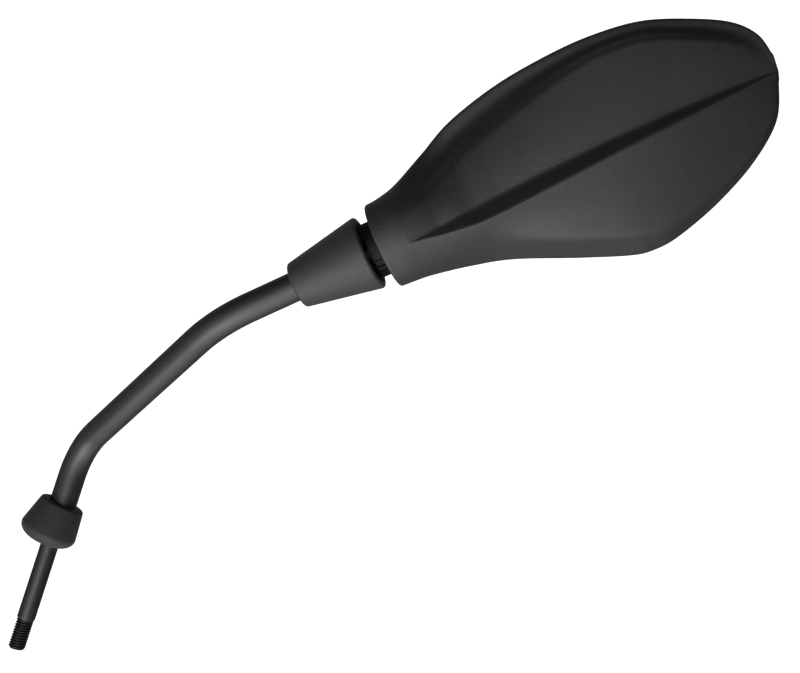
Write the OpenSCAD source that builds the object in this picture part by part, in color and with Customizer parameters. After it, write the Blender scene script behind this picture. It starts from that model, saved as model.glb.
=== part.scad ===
// Motorcycle mirror: a moulded head on a ball joint, a bent tubular stem and a threaded foot.
// Origin on the foot's axis, where its thread meets the rod. +Z is up, +X runs to the tip of the head
// and -Y to the front of the machine, so the glass looks along +Y. All sizes are in millimetres.

/* [Foot] */
// Radius over the thread that screws into the handlebar clamp
thread_r = 4; // [3:0.25:5]
// Length of the thread
thread_len = 15; // [10:1:25]
// How much wider the plain rod is than the thread, on the radius
rod_step = 0.3; // [0.2:0.1:0.6]
// Length of the rod from the thread to the lower end of the tube
rod_len = 46; // [42:1:50]
// Length of each spigot that is pressed into the tube
spigot_len = 18; // [15:1:20]

/* [Stem] */
// Outer radius of the tube
tube_r = 6.5; // [6.25:0.25:7]
// Wall of the tube
tube_wall = 1.5; // [1:0.25:1.5]
// Distance from the thread to the lower bend
lower_run = 84.8; // [80:0.2:110]
// Distance between the two bends
middle_run = 112.5; // [80:0.5:140]
// Distance from the upper bend to the centre of the ball
upper_run = 94.5; // [92:0.5:120]
// Rise of the lower run over the horizontal, seen from the front
lower_rise = 73; // [60:0.5:80]
// Forward lean of the lower run; it leans back where this is negative
lower_lean = -4; // [-6:0.5:12]
// Rise of the middle run, seen from the front
middle_rise = 38.5; // [34:0.5:46]
// Forward lean of the middle run
middle_lean = 31; // [22:0.5:33]
// Rise of the upper run and of the head's axis, seen from the front
upper_rise = 24; // [16:0.5:28]
// Forward lean of the upper run and of the head's axis
upper_lean = 8.5; // [6:0.5:14]
// Centreline radius of the lower bend
lower_bend_r = 33; // [26:1:36]
// Centreline radius of the upper bend
upper_bend_r = 68; // [50:1:74]

/* [Ball joint] */
// Radius of the ball
ball_r = 9; // [8:0.25:9.5]
// Radius of the ball stud's neck
neck_r = 4.5; // [3.5:0.25:4.5]
// Thickness of the liner round the ball
liner_t = 1; // [0.8:0.1:1.2]
// Thinnest wall of the two cups that hold the liner
cup_wall = 2.4; // [2:0.2:2.8]
// How far the head swings each way about each of its two cross axes, in degrees
swing = 10; // [6:1:10]
// Running clearance of everything that turns or slides on something else
run_gap = 0.05; // [0.03:0.01:0.08]
// Thickness of the thrust washer
washer_t = 1; // [0.8:0.1:1.5]
// Sheet thickness of each disc spring
disc_t = 0.8; // [0.6:0.1:1]
// Height of each disc spring's cone
disc_h = 0.8; // [0.5:0.1:1]
// How much wider the retaining nut's thread is than the cups, on the radius
nut_step = 0.9; // [0.6:0.1:1.2]
// Outer radius of the nut's ribbed collar
nut_collar_r = 11.5; // [11:0.25:12]
// How far the nut's collar stands out of the head
nut_out = 5; // [2.5:0.5:5]
// Number of ribs round the nut's collar
nut_ribs = 24; // [16:2:30]

/* [Collar] */
// Radius of the collar at the head
collar_wide_r = 16.5; // [15.5:0.25:17.5]
// Radius of the collar's small end
collar_small_r = 10.1; // [9:0.1:11]
// Length of the collar
collar_len = 35; // [30:1:38]
// Gap between the collar and the head
collar_gap = 6; // [6:0.5:8]
// Rounding of the collar's rims
collar_round = 1; // [0.6:0.2:2]

/* [Boot] */
// Radius of the boot's top
boot_top_r = 10.6; // [9.4:0.2:11]
// Largest radius of the boot
boot_wide_r = 13.7; // [13.1:0.2:15.1]
// Height from the boot's top to its widest point
boot_flare = 14.5; // [12:0.5:16]
// Depth of the boot's domed underside
boot_dome = 6; // [5:0.5:7]
// How far the boot's top lies above the lower end of the tube
boot_over = 11; // [9:0.5:12]
// How far the boot leans over on the rod, in degrees
boot_tilt = 10; // [0:1:11]

/* [Head] */
// Length of the head from its mouth to its tip
head_len = 176.5; // [150:0.5:200]
// Height of the head above its neck's axis
head_up = 44.5; // [38:0.5:50]
// Depth of the head below its neck's axis
head_down = 47.7; // [40:0.5:54]
// Radius of the round mouth
mouth_r = 18; // [17.5:0.25:19]
// Distance from the mouth to the centre of the ball
mouth_depth = 15; // [14:0.5:17]
// Height of the back's crest over the neck's axis
crest_h = 17.5; // [15:0.5:20]
// How far the crest has fallen at the tip
crest_fall = 19.5; // [14:0.5:20]
// Depth of the step along the back's crease
step_h = 6; // [3:0.5:7]
// Width of the step
step_w = 6.5; // [4:0.5:8]
// Width of the bevel round the lower half of the back
bevel_w = 8.5; // [5:0.5:10]
// Width of the flange round the upper half of the back
flange_w = 11.5; // [8:0.5:13]
// Depth of the widest line of the head behind the neck's axis
rim_depth = 7; // [6:0.5:8]
// Depth of the head's front edge behind the neck's axis
front_depth = 16; // [15.5:0.5:18]
// Wall of the moulding
wall = 2.8; // [2.4:0.1:3.2]

/* [Glass] */
// Width of the rim round the glass
glass_rim = 4; // [3:0.5:5]
// Distance from the ball's centre to the near end of the glass
glass_from = 24; // [23:1:30]
// Rounding of the glass's near corners
glass_corner = 9; // [6:1:12]
// Thickness of the glass
glass_t = 2; // [1.8:0.1:2.4]
// Radius of the sphere that the convex glass is cut from
glass_curve = 1200; // [1000:100:1600]
// How deep the middle of the glass lies under the head's front edge
glass_sink = 0.3; // [0.2:0.1:1]
// Thickness of the adhesive pad
pad_t = 0.8; // [0.6:0.1:1]
// Distance from the front edge to the ledge that carries the backing plate
ledge_depth = 6.5; // [6.5:0.1:7]
// Width of the ledge
ledge_w = 3; // [2:0.5:4]
// Radius of the backing plate's screws
screw_r = 1.4; // [1.2:0.1:1.5]
// Length of the screws under the head
screw_len = 9; // [7:1:10]

/* [Hidden] */
$fn = 64;

// Small helpers
function unit(a) = a / norm(a);
function mix(a, b, t) = a + (b - a) * t;
function ease(t) = let (c = min(max(t, 0), 1)) c * c * (3 - 2 * c);
function aim(rise, lean) = [cos(lean) * cos(rise), -sin(lean), cos(lean) * sin(rise)];
// Smooth curve through the points p, where t counts from one point to the next
function curve(p, t) =
    let (n = len(p) - 1, i = min(floor(t), n - 1), f = t - i)
    let (a = p[max(i - 1, 0)], b = p[i], c = p[i + 1], d = p[min(i + 2, n)])
    (2 * b + (c - a) * f + (2 * a - 5 * b + 4 * c - d) * f * f + (3 * b - a - 3 * c + d) * f * f * f) / 2;

// Centre line of the stem: its corners, directions and bends
dir_1 = aim(lower_rise, lower_lean);
dir_2 = aim(middle_rise, middle_lean);
dir_3 = aim(upper_rise, upper_lean);
corner_1 = dir_1 * lower_run;
corner_2 = corner_1 + dir_2 * middle_run;
ball_at = corner_2 + dir_3 * upper_run;
angle_1 = acos(dir_1 * dir_2);
angle_2 = acos(dir_2 * dir_3);
cut_1 = lower_bend_r * tan(angle_1 / 2);
cut_2 = upper_bend_r * tan(angle_2 / 2);
// Direction in which each bend turns, and the turn from the first bend's plane to the second's
function turn_to(a, b) = unit(b - a * (a * b));
bend_x_1 = turn_to(dir_1, dir_2);
bend_x_2 = turn_to(dir_2, dir_3);
carried_x = bend_x_1 * cos(angle_1) - dir_1 * sin(angle_1);
bend_turn = atan2(cross(carried_x, bend_x_2) * dir_2, carried_x * bend_x_2);

// Axes of the head: u to its tip, v up across the glass, w out of its back
u_dir = dir_3;
v_dir = unit(cross([0, 1, 0], -dir_3));
w_dir = cross(u_dir, v_dir);

// Stem
tube_bore_r = tube_r - tube_wall;
spigot_r = tube_bore_r - 0.02;
rod_r = thread_r + rod_step;
thread_chamfer = 0.8;
pin_r = 1.5;
pin_bore_r = 0.9;
pin_slot = 0.6;
pin_fit = 0.02;
pin_len = 2 * tube_r - 0.6;
elbow_step = 0.02;
elbow_over = 1;
cut_over = 10;

// Ball joint, measured along the neck's axis from the centre of the ball
cone_angle = acos(cos(swing) * cos(swing));
liner_r = ball_r + run_gap;
cup_sphere_r = liner_r + liner_t + run_gap;
cup_r = cup_sphere_r + cup_wall;
socket_r = cup_r + run_gap;
cup_front = 0.72 * cup_sphere_r;
cup_split = 0.1;
cup_back = 1.2 * cup_sphere_r;
grease_r = 3;
liner_open = asin(neck_r / liner_r) + cone_angle + 3;
liner_back_open = 25;
seat_gap = 0.05;
washer_at = cup_back + seat_gap;
disc_1_at = washer_at + washer_t + seat_gap;
disc_height = disc_t + disc_h;
disc_2_at = disc_1_at + disc_height + seat_gap;
socket_end = disc_2_at + disc_height + seat_gap;
socket_floor = 2.5;
socket_wall = 2.6;
nut_thread_r = cup_r + nut_step;
nut_bore_r = nut_thread_r + run_gap;
nut_from = cup_front + seat_gap;
nut_flush = 0.4;
nut_rib_h = 0.7;
nut_rib_w = 0.9;
neck_room = 0.3;
collar_from = mouth_depth + collar_gap;
tube_to = collar_from + 3;
ball_pin_at = tube_to + 9;

// Collar and boot
collar_mouth = 7;
collar_lip = 2.8;
collar_throat = 4.5;
slide_r = tube_r + run_gap;
rod_slide_r = rod_r + run_gap;
boot_round = 1.4;
boot_foot_r = rod_r + 0.9;

// Shape of the head. Each outline point is a share of the head's length and of the way from the
// mouth's radius to the head's full half height.
top_line = [[0, 0], [0.035, 0.02], [0.085, 0.14], [0.17, 0.41], [0.266, 0.69], [0.407, 0.9], [0.549, 0.992],
    [0.662, 0.99], [0.775, 0.838], [0.888, 0.464], [0.954, 0.14], [0.988, -0.17], [1, -0.5]];
bottom_line = [[0, 0], [0.035, 0.015], [0.085, 0.06], [0.18, 0.165], [0.275, 0.335], [0.418, 0.7],
    [0.535, 0.955], [0.588, 1], [0.65, 0.96], [0.762, 0.755], [0.874, 0.43], [0.954, 0.02], [0.992, -0.45]];
crease_from = -2;
crease_v = [-6.2, -2.9];
neck_step = 0.3;
step_from = 14;
step_fade = 34;
neck_blend = [-10, 30];
edge_r = 1.4;
tip_round = 0.7;
tip_share = 0.86;
bevel_share = 0.55;
flange_rise = 1.2;
shoulder_share = 0.7;
slope_w = 12;
crest_bend = 2.6;
steps = 4;
back_points = 14;
front_points = 14;
cavity_points = 7;
box_power = 8;
search_step = 0.25;

// Inside of the head
ledge_t = 2;
cavity_rows = [2.5, 9];
cavity_steps = 2;
cavity_roof = 1.2 * wall;
cavity_min = 1;
glass_gap = 0.3;
boss_r = 3.2;
boss_spots = [[4.5, 1, 0.5], [4.5, -1, 0.55], [7.4, 1, 0.5], [7.4, -1, 0.55]];
boss_sink = 0.6;
screw_fit = 0.02;
screw_room = 0.3;
screw_head_r = 2.7;
screw_head_h = 0.9;
screw_drive = 1.3;
plate_gap = 0.3;
plate_skin = 1.2;
plate_rim = 3.5;
plate_boss_r = 4.6;
rib_w = 1.4;
rib_pitch = 20;
plate_cell_min = 0.4;
bond = 0.03;
dome_steps = 10;
glass_deep = 20;

tip_u = head_len - mouth_depth;
front_w = -front_depth;
ledge_at = front_w + ledge_depth;
face_w = front_w + glass_sink;
glass_mid = [(glass_from + tip_u) / 2, (head_up - head_down) / 2];
glass_reach = (tip_u - glass_from) / 2 + 12;

function top_at(t) = let (q = curve(top_line, t))
    [q[0] * head_len - mouth_depth, mix(mouth_r, head_up, q[1])];
function bottom_at(t) = let (q = curve(bottom_line, t))
    [q[0] * head_len - mouth_depth, -mix(mouth_r, head_down, q[1])];
rows = len(top_line) - 1;

// Share of the crease's length at a place along the head, and how far its step is open there
function along_crease(u) = min(max((u - crease_from) / (tip_u - crease_from), 0), 1);
function opening(u) = pow(max(sin(180 * pow(along_crease(u), 0.6)), 0), 0.55);
function crest_w(u) = crest_h - crest_fall * pow(min(max((u - 10) / (tip_u - 10), 0), 1), crest_bend);
function step_share(u) = opening(u) * mix(neck_step, 1, ease((u - step_from) / step_fade));
function valley_w(u) = crest_w(u) - step_h * step_share(u);
function body_share(u) = ease((u - neck_blend[0]) / (neck_blend[1] - neck_blend[0]));
function bevel_at(u) = bevel_w * mix(1, 0.35, ease((u - 75) / 70));
function flange_at(u) = flange_w * mix(0.55, 1, ease((u + 15) / 35)) * mix(1, 0.62, ease((u - 62) / 30));

// The two sides of the crease in plan: the valley above it and the crest below it
function crease_at(t, side) =
    let (u = (top_at(t)[0] + bottom_at(t)[0]) / 2)
    let (half = max(step_w * opening(u), 0.8) / 2)
    [u, mix(crease_v[0], crease_v[1], (u + mouth_depth) / head_len) + side * half];
function rim_at(t, side) = side > 0 ? top_at(t) : bottom_at(t);
function rounding(d) = sqrt(max(edge_r * edge_r - pow(max(edge_r - d, 0), 2), 0));
function soft_min(a, b, k) = let (h = max(k - abs(a - b), 0) / k) min(a, b) - h * h * k / 4;

// Height of the back at distance d from the rim, where the half is l wide
function upper_w(d, l, u) =
    let (s = min(flange_at(u), 0.42 * l), h = min(slope_w / 2, 0.4 * l), top = valley_w(u))
    let (flange = rounding(d) - rim_depth + flange_rise * d / s)
    let (fall = (1 - shoulder_share) * (top + rim_depth), dome = top - fall * pow((l - d) / (l - s), 2))
    mix(flange, dome, ease((d - s + h) / (2 * h)));
function lower_w(d, l, u) =
    let (b = min(bevel_at(u), 0.5 * l), top = crest_w(u), x = (d - b) / (l - b))
    let (knee = mix(-rim_depth, top, bevel_share))
    let (bevel = mix(-rim_depth, knee, d / b))
    let (field = mix(knee, top, x < 0 ? x : (x + sin(90 * x)) / 2))
    soft_min(bevel, field, 2);

// Point of the back on station t, at distance d from the rim on the upper (1) or lower (-1) side
function back_at(t, side, d) =
    let (r = rim_at(t, side), c = crease_at(t, side), l = norm(c - r), p = mix(r, c, d / l), u = c[0])
    let (round_w = mouth_r * sqrt(max(1 - pow(p[1] / r[1], 2), 0)))
    let (body_w = side > 0 ? upper_w(d, l, u) : lower_w(d, l, u))
    [p[0], p[1], mix(round_w, body_w, body_share(u))];
function half_width(t, side) = norm(crease_at(t, side) - rim_at(t, side));
// Distances from the rim, close together where the edge is round
function spread(k, n, l) = k == 0 ? 0 : k == 1 ? edge_r * 0.2 :
    edge_r + (l - edge_r) * pow((k - 2) / (n - 2), 1.25);
function signed_pow(a, e) = sign(a) * pow(abs(a), e);

// Closed section of the outside on station t
function outer_ring(t) =
    let (a = top_at(t), b = bottom_at(t), m = (a + b) / 2, u = m[0])
    let (s = body_share(u), e = 2 / mix(2, box_power, s))
    let (w = -rim_depth * s, h = mix(mouth_r, front_depth - rim_depth, s))
    concat(
        [for (k = [0:back_points]) back_at(t, 1, spread(k, back_points, half_width(t, 1)))],
        [for (k = [back_points:-1:0]) back_at(t, -1, spread(k, back_points, half_width(t, -1)))],
        [for (k = [front_points - 1:-1:1])
            let (f = 180 * k / front_points, p = m + (a - m) * signed_pow(cos(f), e))
            [p[0], p[1], w - h * pow(sin(f), e)]]);

// Last section, drawn in a little so that the tip has a chamfer
function tip_ring() = let (r = outer_ring(rows), m = [for (p = r) 1] * r / len(r))
    [for (p = r) m + (p - m) * tip_share + [tip_round, 0, 0]];

// Closed section of the cavity: it starts where the moulding is deep enough to hold a wall
function cavity_front(u) =
    -mix(front_depth - wall, front_depth - ledge_depth - ledge_t, ease((u - glass_from + 8) / 5));
function cavity_edge(t, side, d = 0) =
    let (p = back_at(t, side, d + wall))
    p[2] - cavity_roof > cavity_front(p[0]) + cavity_min ? d + wall : cavity_edge(t, side, d + search_step);
function cavity_half(t, side) =
    let (d = cavity_edge(t, side), l = half_width(t, side), p = back_at(t, side, d))
    concat([[p[0], p[1], cavity_front(p[0])]],
        [for (k = [0:cavity_points]) back_at(t, side, mix(d, l, k / cavity_points)) - [0, 0, cavity_roof]]);
function cavity_ring(t) = let (b = cavity_half(t, -1))
    concat(cavity_half(t, 1), [for (k = [len(b) - 1:-1:0]) b[k]]);

// Height of the sphere that lies drop under the face of the glass, at distance r from its middle
function dome_w(r, drop) = face_w + glass_curve - sqrt(pow(glass_curve - drop, 2) - r * r);

// Closed skin through a list of rings that hold the same number of points
module loft(rings) {
    n = len(rings[0]);
    m = len(rings);
    ends = [for (i = [0, m - 1]) [for (a = [0:2]) [for (p = rings[i]) p[a]] * [for (p = rings[i]) 1 / n]]];
    points = concat([for (r = rings) each r], ends);
    faces = concat(
        [for (i = [0:m - 2], j = [0:n - 1]) let (k = (j + 1) % n)
            [i * n + k, i * n + j, (i + 1) * n + j]],
        [for (i = [0:m - 2], j = [0:n - 1]) let (k = (j + 1) % n)
            [(i + 1) * n + k, i * n + k, (i + 1) * n + j]],
        [for (j = [0:n - 1]) [n * m, j, (j + 1) % n]],
        [for (j = [0:n - 1]) [n * m + 1, (m - 1) * n + (j + 1) % n, (m - 1) * n + j]]);
    polyhedron(points, faces);
}

// Places its children on the axes x, y and z at p
module seat(p, x, y, z) {
    multmatrix([[x[0], y[0], z[0], p[0]], [x[1], y[1], z[1], p[1]], [x[2], y[2], z[2], p[2]], [0, 0, 0, 1]])
        children();
}

// Places its children with +Z along dir
module along(p, dir) {
    y = unit(cross(dir, [0, -1, 0]));
    seat(p, cross(y, dir), y, dir) children();
}

module in_head() seat(ball_at, u_dir, v_dir, w_dir) children();
module on_neck(u) in_head() translate([u, 0, 0]) rotate([0, 90, 0]) children();
module on_rod(z) along(dir_1 * z, dir_1) children();

// Straight run of the stem along +Z, with the next piece at its far end
module run(r, length) {
    cylinder(r = r, h = length);
    translate([0, 0, length]) children();
}

// Bend of the stem from +Z towards +X, with the next piece at its far end. It is a hair thinner than the
// runs and reaches a little way into both of them.
module elbow(r, radius, angle) {
    over = elbow_over / radius * 180 / PI;
    translate([radius, 0, 0]) {
        rotate([90, 0, 180]) rotate([0, 0, -over]) rotate_extrude(angle = angle + 2 * over)
            translate([radius, 0]) circle(r - elbow_step);
        rotate([0, angle, 0]) translate([-radius, 0, 0]) children();
    }
}

// The stem's whole line as a solid rod of radius r, longer by over at both ends
module stem_line(r, over) {
    seat(dir_1 * (rod_len - over), bend_x_1, cross(dir_1, bend_x_1), dir_1)
        run(r, lower_run - cut_1 - rod_len + over) elbow(r, lower_bend_r, angle_1)
        run(r, middle_run - cut_1 - cut_2) rotate([0, 0, bend_turn]) elbow(r, upper_bend_r, angle_2)
        run(r, upper_run - cut_2 - tube_to + over);
}

// A rolled spring pin across the axis
module spring_pin() {
    rotate([90, 0, 0]) difference() {
        cylinder(r = pin_r, h = pin_len, center = true, $fn = 32);
        cylinder(r = pin_bore_r, h = pin_len + 1, center = true, $fn = 32);
        translate([0, -pin_slot / 2, -pin_len]) cube([pin_r + 1, pin_slot, 2 * pin_len]);
    }
}
module pin_hole() rotate([90, 0, 0]) cylinder(r = pin_r + pin_fit, h = 4 * tube_r, center = true, $fn = 32);

module base_rod() {
    color("#26272a") on_rod(0) difference() {
        union() {
            translate([0, 0, -thread_len])
                cylinder(r1 = thread_r - thread_chamfer, r2 = thread_r, h = thread_chamfer);
            translate([0, 0, thread_chamfer - thread_len])
                cylinder(r = thread_r, h = thread_len - thread_chamfer);
            cylinder(r1 = thread_r, r2 = rod_r, h = rod_step);
            translate([0, 0, rod_step]) cylinder(r = rod_r, h = rod_len - rod_step);
            translate([0, 0, rod_len]) cylinder(r = spigot_r, h = spigot_len);
        }
        translate([0, 0, rod_len + spigot_len / 2]) pin_hole();
    }
}

module rod_pin() {
    color("#8a8d92") on_rod(rod_len + spigot_len / 2) spring_pin();
}

module base_boot() {
    top = rod_len + boot_over;
    height = boot_flare + boot_dome;
    color("#2b2c2e") on_rod(0) difference() {
        translate([0, 0, top]) rotate([-boot_tilt, 0, 0]) rotate_extrude() boot_profile(height);
        translate([0, 0, rod_len - run_gap]) cylinder(r = slide_r, h = boot_over + cut_over);
        translate([0, 0, top - height - cut_over]) cylinder(r = rod_slide_r, h = height + cut_over);
    }
}

// Half section of the boot, hanging down from its top
module boot_profile(height) {
    dome = [for (a = [0:15:90]) [mix(boot_foot_r, boot_wide_r, cos(a)), -boot_flare - boot_dome * sin(a)]];
    intersection() {
        offset(r = boot_round, $fn = 32) offset(delta = -boot_round)
            polygon(concat([[-boot_wide_r, 0], [boot_top_r, 0]], dome, [[-boot_wide_r, -height]]));
        translate([0, -2 * height]) square([2 * boot_wide_r, 3 * height]);
    }
}

module stem_tube() {
    color("#2a2b2e") difference() {
        stem_line(tube_r, 0);
        stem_line(tube_bore_r, 1);
        on_rod(rod_len + spigot_len / 2) pin_hole();
        on_neck(-ball_pin_at) pin_hole();
    }
}

module ball_pin() {
    color("#8a8d92") on_neck(-ball_pin_at) spring_pin();
}

module ball_stud() {
    color("#9a9da2") on_neck(0) difference() {
        union() {
            sphere(r = ball_r);
            translate([0, 0, -tube_to]) cylinder(r = neck_r, h = tube_to);
            translate([0, 0, -tube_to - spigot_len]) cylinder(r = spigot_r, h = spigot_len);
        }
        translate([0, 0, -ball_pin_at]) pin_hole();
    }
}

module collar_cone() {
    mouth = collar_wide_r - collar_lip;
    color("#3a3b3d") on_neck(-collar_from - collar_len) rotate_extrude(convexity = 4) difference() {
        intersection() {
            offset(r = collar_round, $fn = 32) offset(delta = -collar_round)
                polygon([[-2, 0], [collar_small_r, 0], [collar_wide_r, collar_len], [-2, collar_len]]);
            square([2 * collar_wide_r, collar_len]);
        }
        translate([-1, -1]) square([slide_r + 1, collar_len + 2]);
        polygon([[0, collar_len + 1], [mouth, collar_len + 1], [mouth, collar_len - collar_mouth],
            [mouth - collar_throat, collar_len - collar_mouth - 2], [0, collar_len - collar_mouth - 2]]);
    }
}

// Opening cone of half angle a round the neck's axis, towards the stem (-1) or the head (1)
module cone_from_ball(a, side) {
    h = 2 * ball_r;
    mirror([0, 0, side < 0 ? 1 : 0]) cylinder(r1 = 0, r2 = h * tan(a), h = h);
}

module ball_liner() {
    color("#e4e2da") on_neck(0) difference() {
        sphere(r = liner_r + liner_t);
        sphere(r = liner_r);
        cone_from_ball(liner_open, -1);
        cone_from_ball(liner_back_open, 1);
    }
}

module front_cup() {
    color("#d8d6ce") on_neck(0) difference() {
        translate([0, 0, -cup_front]) cylinder(r = cup_r, h = cup_front - cup_split);
        sphere(r = cup_sphere_r);
    }
}

module rear_cup() {
    color("#d8d6ce") on_neck(0) difference() {
        translate([0, 0, cup_split]) cylinder(r = cup_r, h = cup_back - cup_split);
        sphere(r = cup_sphere_r);
        cylinder(r = grease_r, h = 2 * cup_back);
    }
}

module thrust_washer() {
    color("#a4a7ab") on_neck(washer_at) difference() {
        cylinder(r = cup_r - 0.4, h = washer_t);
        translate([0, 0, -1]) cylinder(r = grease_r, h = washer_t + 2);
    }
}

// Disc spring on its back: the rim lies low and the bore stands high
module disc_spring() {
    rotate_extrude() polygon([[cup_r - 0.5, 0], [cup_r - 0.5, disc_t], [grease_r + 2, disc_h + disc_t],
        [grease_r + 2, disc_h]]);
}

module disc_spring_1() {
    color("#85888d") on_neck(disc_1_at) disc_spring();
}

module disc_spring_2() {
    color("#85888d") on_neck(disc_2_at) translate([0, 0, disc_height]) mirror([0, 0, 1]) disc_spring();
}

// Radius that the stud's neck sweeps at distance z from the ball's centre, with its room
function neck_sweep(z) = z * tan(cone_angle) + neck_r / cos(cone_angle) + neck_room;

module retaining_nut() {
    out = mouth_depth + nut_out;
    flush = mouth_depth - nut_flush;
    color("#1d1e20") on_neck(0) difference() {
        union() {
            translate([0, 0, -flush]) cylinder(r = nut_thread_r, h = flush - nut_from);
            translate([0, 0, -out]) cylinder(r = nut_collar_r, h = out - nut_from);
            for (i = [0:nut_ribs - 1]) rotate([0, 0, 360 * i / nut_ribs])
                translate([nut_collar_r - 1, -nut_rib_w / 2, -out])
                    cube([1 + nut_rib_h, nut_rib_w, out - flush + 1]);
        }
        translate([0, 0, -out - 1]) cylinder(r1 = neck_sweep(out + 1), r2 = neck_sweep(nut_from - 1),
            h = out + 2 - nut_from);
        sphere(r = cup_sphere_r);
    }
}

// Outline of the head in plan
module head_outline() {
    polygon(concat([for (i = [0:3 * rows]) top_at(i / 3)], [for (i = [3 * rows:-1:0]) bottom_at(i / 3)]));
}

// Outline of the glass, wider by grow
module glass_outline(grow = 0) {
    offset(delta = grow) offset(r = glass_corner) offset(delta = -glass_corner) intersection() {
        offset(delta = -glass_rim) head_outline();
        translate([glass_from, -2 * head_down]) square([head_len, 4 * head_down]);
    }
}

// Prism over the glass's outline, from height a to height b
module glass_prism(grow, a, b) {
    translate([0, 0, a]) linear_extrude(b - a) glass_outline(grow);
}

// Slice between two spheres of the glass, or between one sphere and a flat top
module dome_slice(near, far) {
    r = [for (i = [0:dome_steps]) glass_reach * i / dome_steps];
    translate(glass_mid) rotate_extrude() polygon(concat([for (x = r) [x, dome_w(x, near)]],
        [for (i = [dome_steps:-1:0]) [r[i], dome_w(r[i], far)]]));
}

function boss_at(i) = let (s = boss_spots[i]) back_at(s[0], s[1], half_width(s[0], s[1]) * s[2]);

module rear_housing() {
    socket_len = socket_end + socket_floor;
    color("#303134") in_head() difference() {
        union() {
            difference() {
                loft(concat([for (i = [0:steps * rows]) outer_ring(i / steps)], [tip_ring()]));
                loft([for (t = [cavity_rows[0]:1 / cavity_steps:cavity_rows[1]]) cavity_ring(t)]);
                glass_prism(glass_gap, front_w - cut_over, ledge_at);
                glass_prism(-ledge_w, front_w - cut_over, ledge_at + ledge_t + 0.1);
            }
            rotate([0, 90, 0]) cylinder(r = socket_r + socket_wall, h = socket_len);
            for (i = [0:len(boss_spots) - 1]) let (p = boss_at(i)) translate([p[0], p[1], ledge_at])
                cylinder(r = boss_r, h = p[2] - boss_sink * wall - ledge_at, $fn = 32);
        }
        translate([-nut_from, 0, 0]) rotate([0, 90, 0]) cylinder(r = socket_r, h = nut_from + socket_end);
        translate([-mouth_depth - 5, 0, 0]) rotate([0, 90, 0])
            cylinder(r = nut_bore_r, h = mouth_depth + 5 - nut_from);
        for (i = [0:len(boss_spots) - 1]) let (p = boss_at(i)) translate([p[0], p[1], ledge_at - 1])
            cylinder(r = screw_r + screw_fit, h = screw_len + 1, $fn = 32);
    }
}

// Recess of the backing plate between its ribs, with a flat floor over the skin
module plate_cell(i, j) {
    low = [glass_mid[0] + i * rib_pitch + rib_w / 2, glass_mid[1] + j * rib_pitch + rib_w / 2];
    high = low + [rib_pitch - rib_w, rib_pitch - rib_w];
    far = norm([max(abs(low[0] - glass_mid[0]), abs(high[0] - glass_mid[0])),
        max(abs(low[1] - glass_mid[1]), abs(high[1] - glass_mid[1]))]);
    floor_w = dome_w(min(far, glass_reach), glass_t + pad_t) + plate_skin;
    if (floor_w < ledge_at - plate_cell_min) translate([low[0], low[1], floor_w])
        cube([high[0] - low[0], high[1] - low[1], ledge_at + 1 - floor_w]);
}

module backing_plate() {
    at = ledge_at - bond;
    color("#3b3c3e") in_head() difference() {
        intersection() {
            glass_prism(-plate_gap, front_w, at);
            dome_slice(glass_t + pad_t + 2 * bond, glass_deep);
        }
        difference() {
            intersection() {
                glass_prism(-plate_rim, front_w, at + 0.5);
                for (i = [-4:3], j = [-2:1]) plate_cell(i, j);
            }
            for (i = [0:3]) translate([boss_at(i)[0], boss_at(i)[1], front_w])
                cylinder(r = plate_boss_r, h = front_depth);
        }
        for (i = [0:3]) translate([boss_at(i)[0], boss_at(i)[1], front_w])
            cylinder(r = screw_r + screw_room, h = front_depth, $fn = 32);
        for (i = [0:3]) translate([boss_at(i)[0], boss_at(i)[1], at - plate_skin - cut_over])
            cylinder(r = screw_head_r + screw_room, h = cut_over, $fn = 32);
    }
}

// Pan head screw of the backing plate, seated in its counterbore
module carrier_screw(i) {
    p = boss_at(i);
    seat_w = ledge_at - bond - plate_skin;
    color("#6e7175") in_head() translate([p[0], p[1], seat_w]) difference() {
        union() {
            cylinder(r = screw_r, h = screw_len, $fn = 32);
            translate([0, 0, -screw_head_h])
                cylinder(r1 = screw_head_r - 0.4, r2 = screw_head_r, h = screw_head_h, $fn = 32);
        }
        for (a = [0, 90]) rotate([0, 0, a]) translate([-screw_drive, -0.25, -screw_head_h - 1])
            cube([2 * screw_drive, 0.5, 1.5]);
    }
}
module carrier_screw_1() carrier_screw(0);
module carrier_screw_2() carrier_screw(1);
module carrier_screw_3() carrier_screw(2);
module carrier_screw_4() carrier_screw(3);

module glass_pad() {
    color("#1b1b1c") in_head() intersection() {
        glass_prism(-2 * plate_gap, front_w - 5, ledge_at);
        dome_slice(glass_t + bond, glass_t + bond + pad_t);
    }
}

module mirror_glass() {
    color("#c8d0d6") in_head() intersection() {
        glass_prism(0, front_w - 5, ledge_at);
        dome_slice(0, glass_t);
    }
}

base_rod();
rod_pin();
base_boot();
stem_tube();
ball_pin();
ball_stud();
collar_cone();
ball_liner();
front_cup();
rear_cup();
thrust_washer();
disc_spring_1();
disc_spring_2();
retaining_nut();
rear_housing();
backing_plate();
carrier_screw_1();
carrier_screw_2();
carrier_screw_3();
carrier_screw_4();
glass_pad();
mirror_glass();
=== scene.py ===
"""Motorcycle mirror: the looks of the packed part, one operator for each piece, and the stage.

Everything is in metres in the part's own frame: the origin lies on the foot's axis where the thread meets
the rod, +Z is up, +X runs to the tip of the head and the glass looks along +Y.
"""
import math

import bmesh
import bpy
import numpy as np
from bpy.props import FloatProperty, FloatVectorProperty, IntProperty, PointerProperty
from bpy.types import Operator, Panel, PropertyGroup
from mathutils import Matrix, Vector


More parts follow.
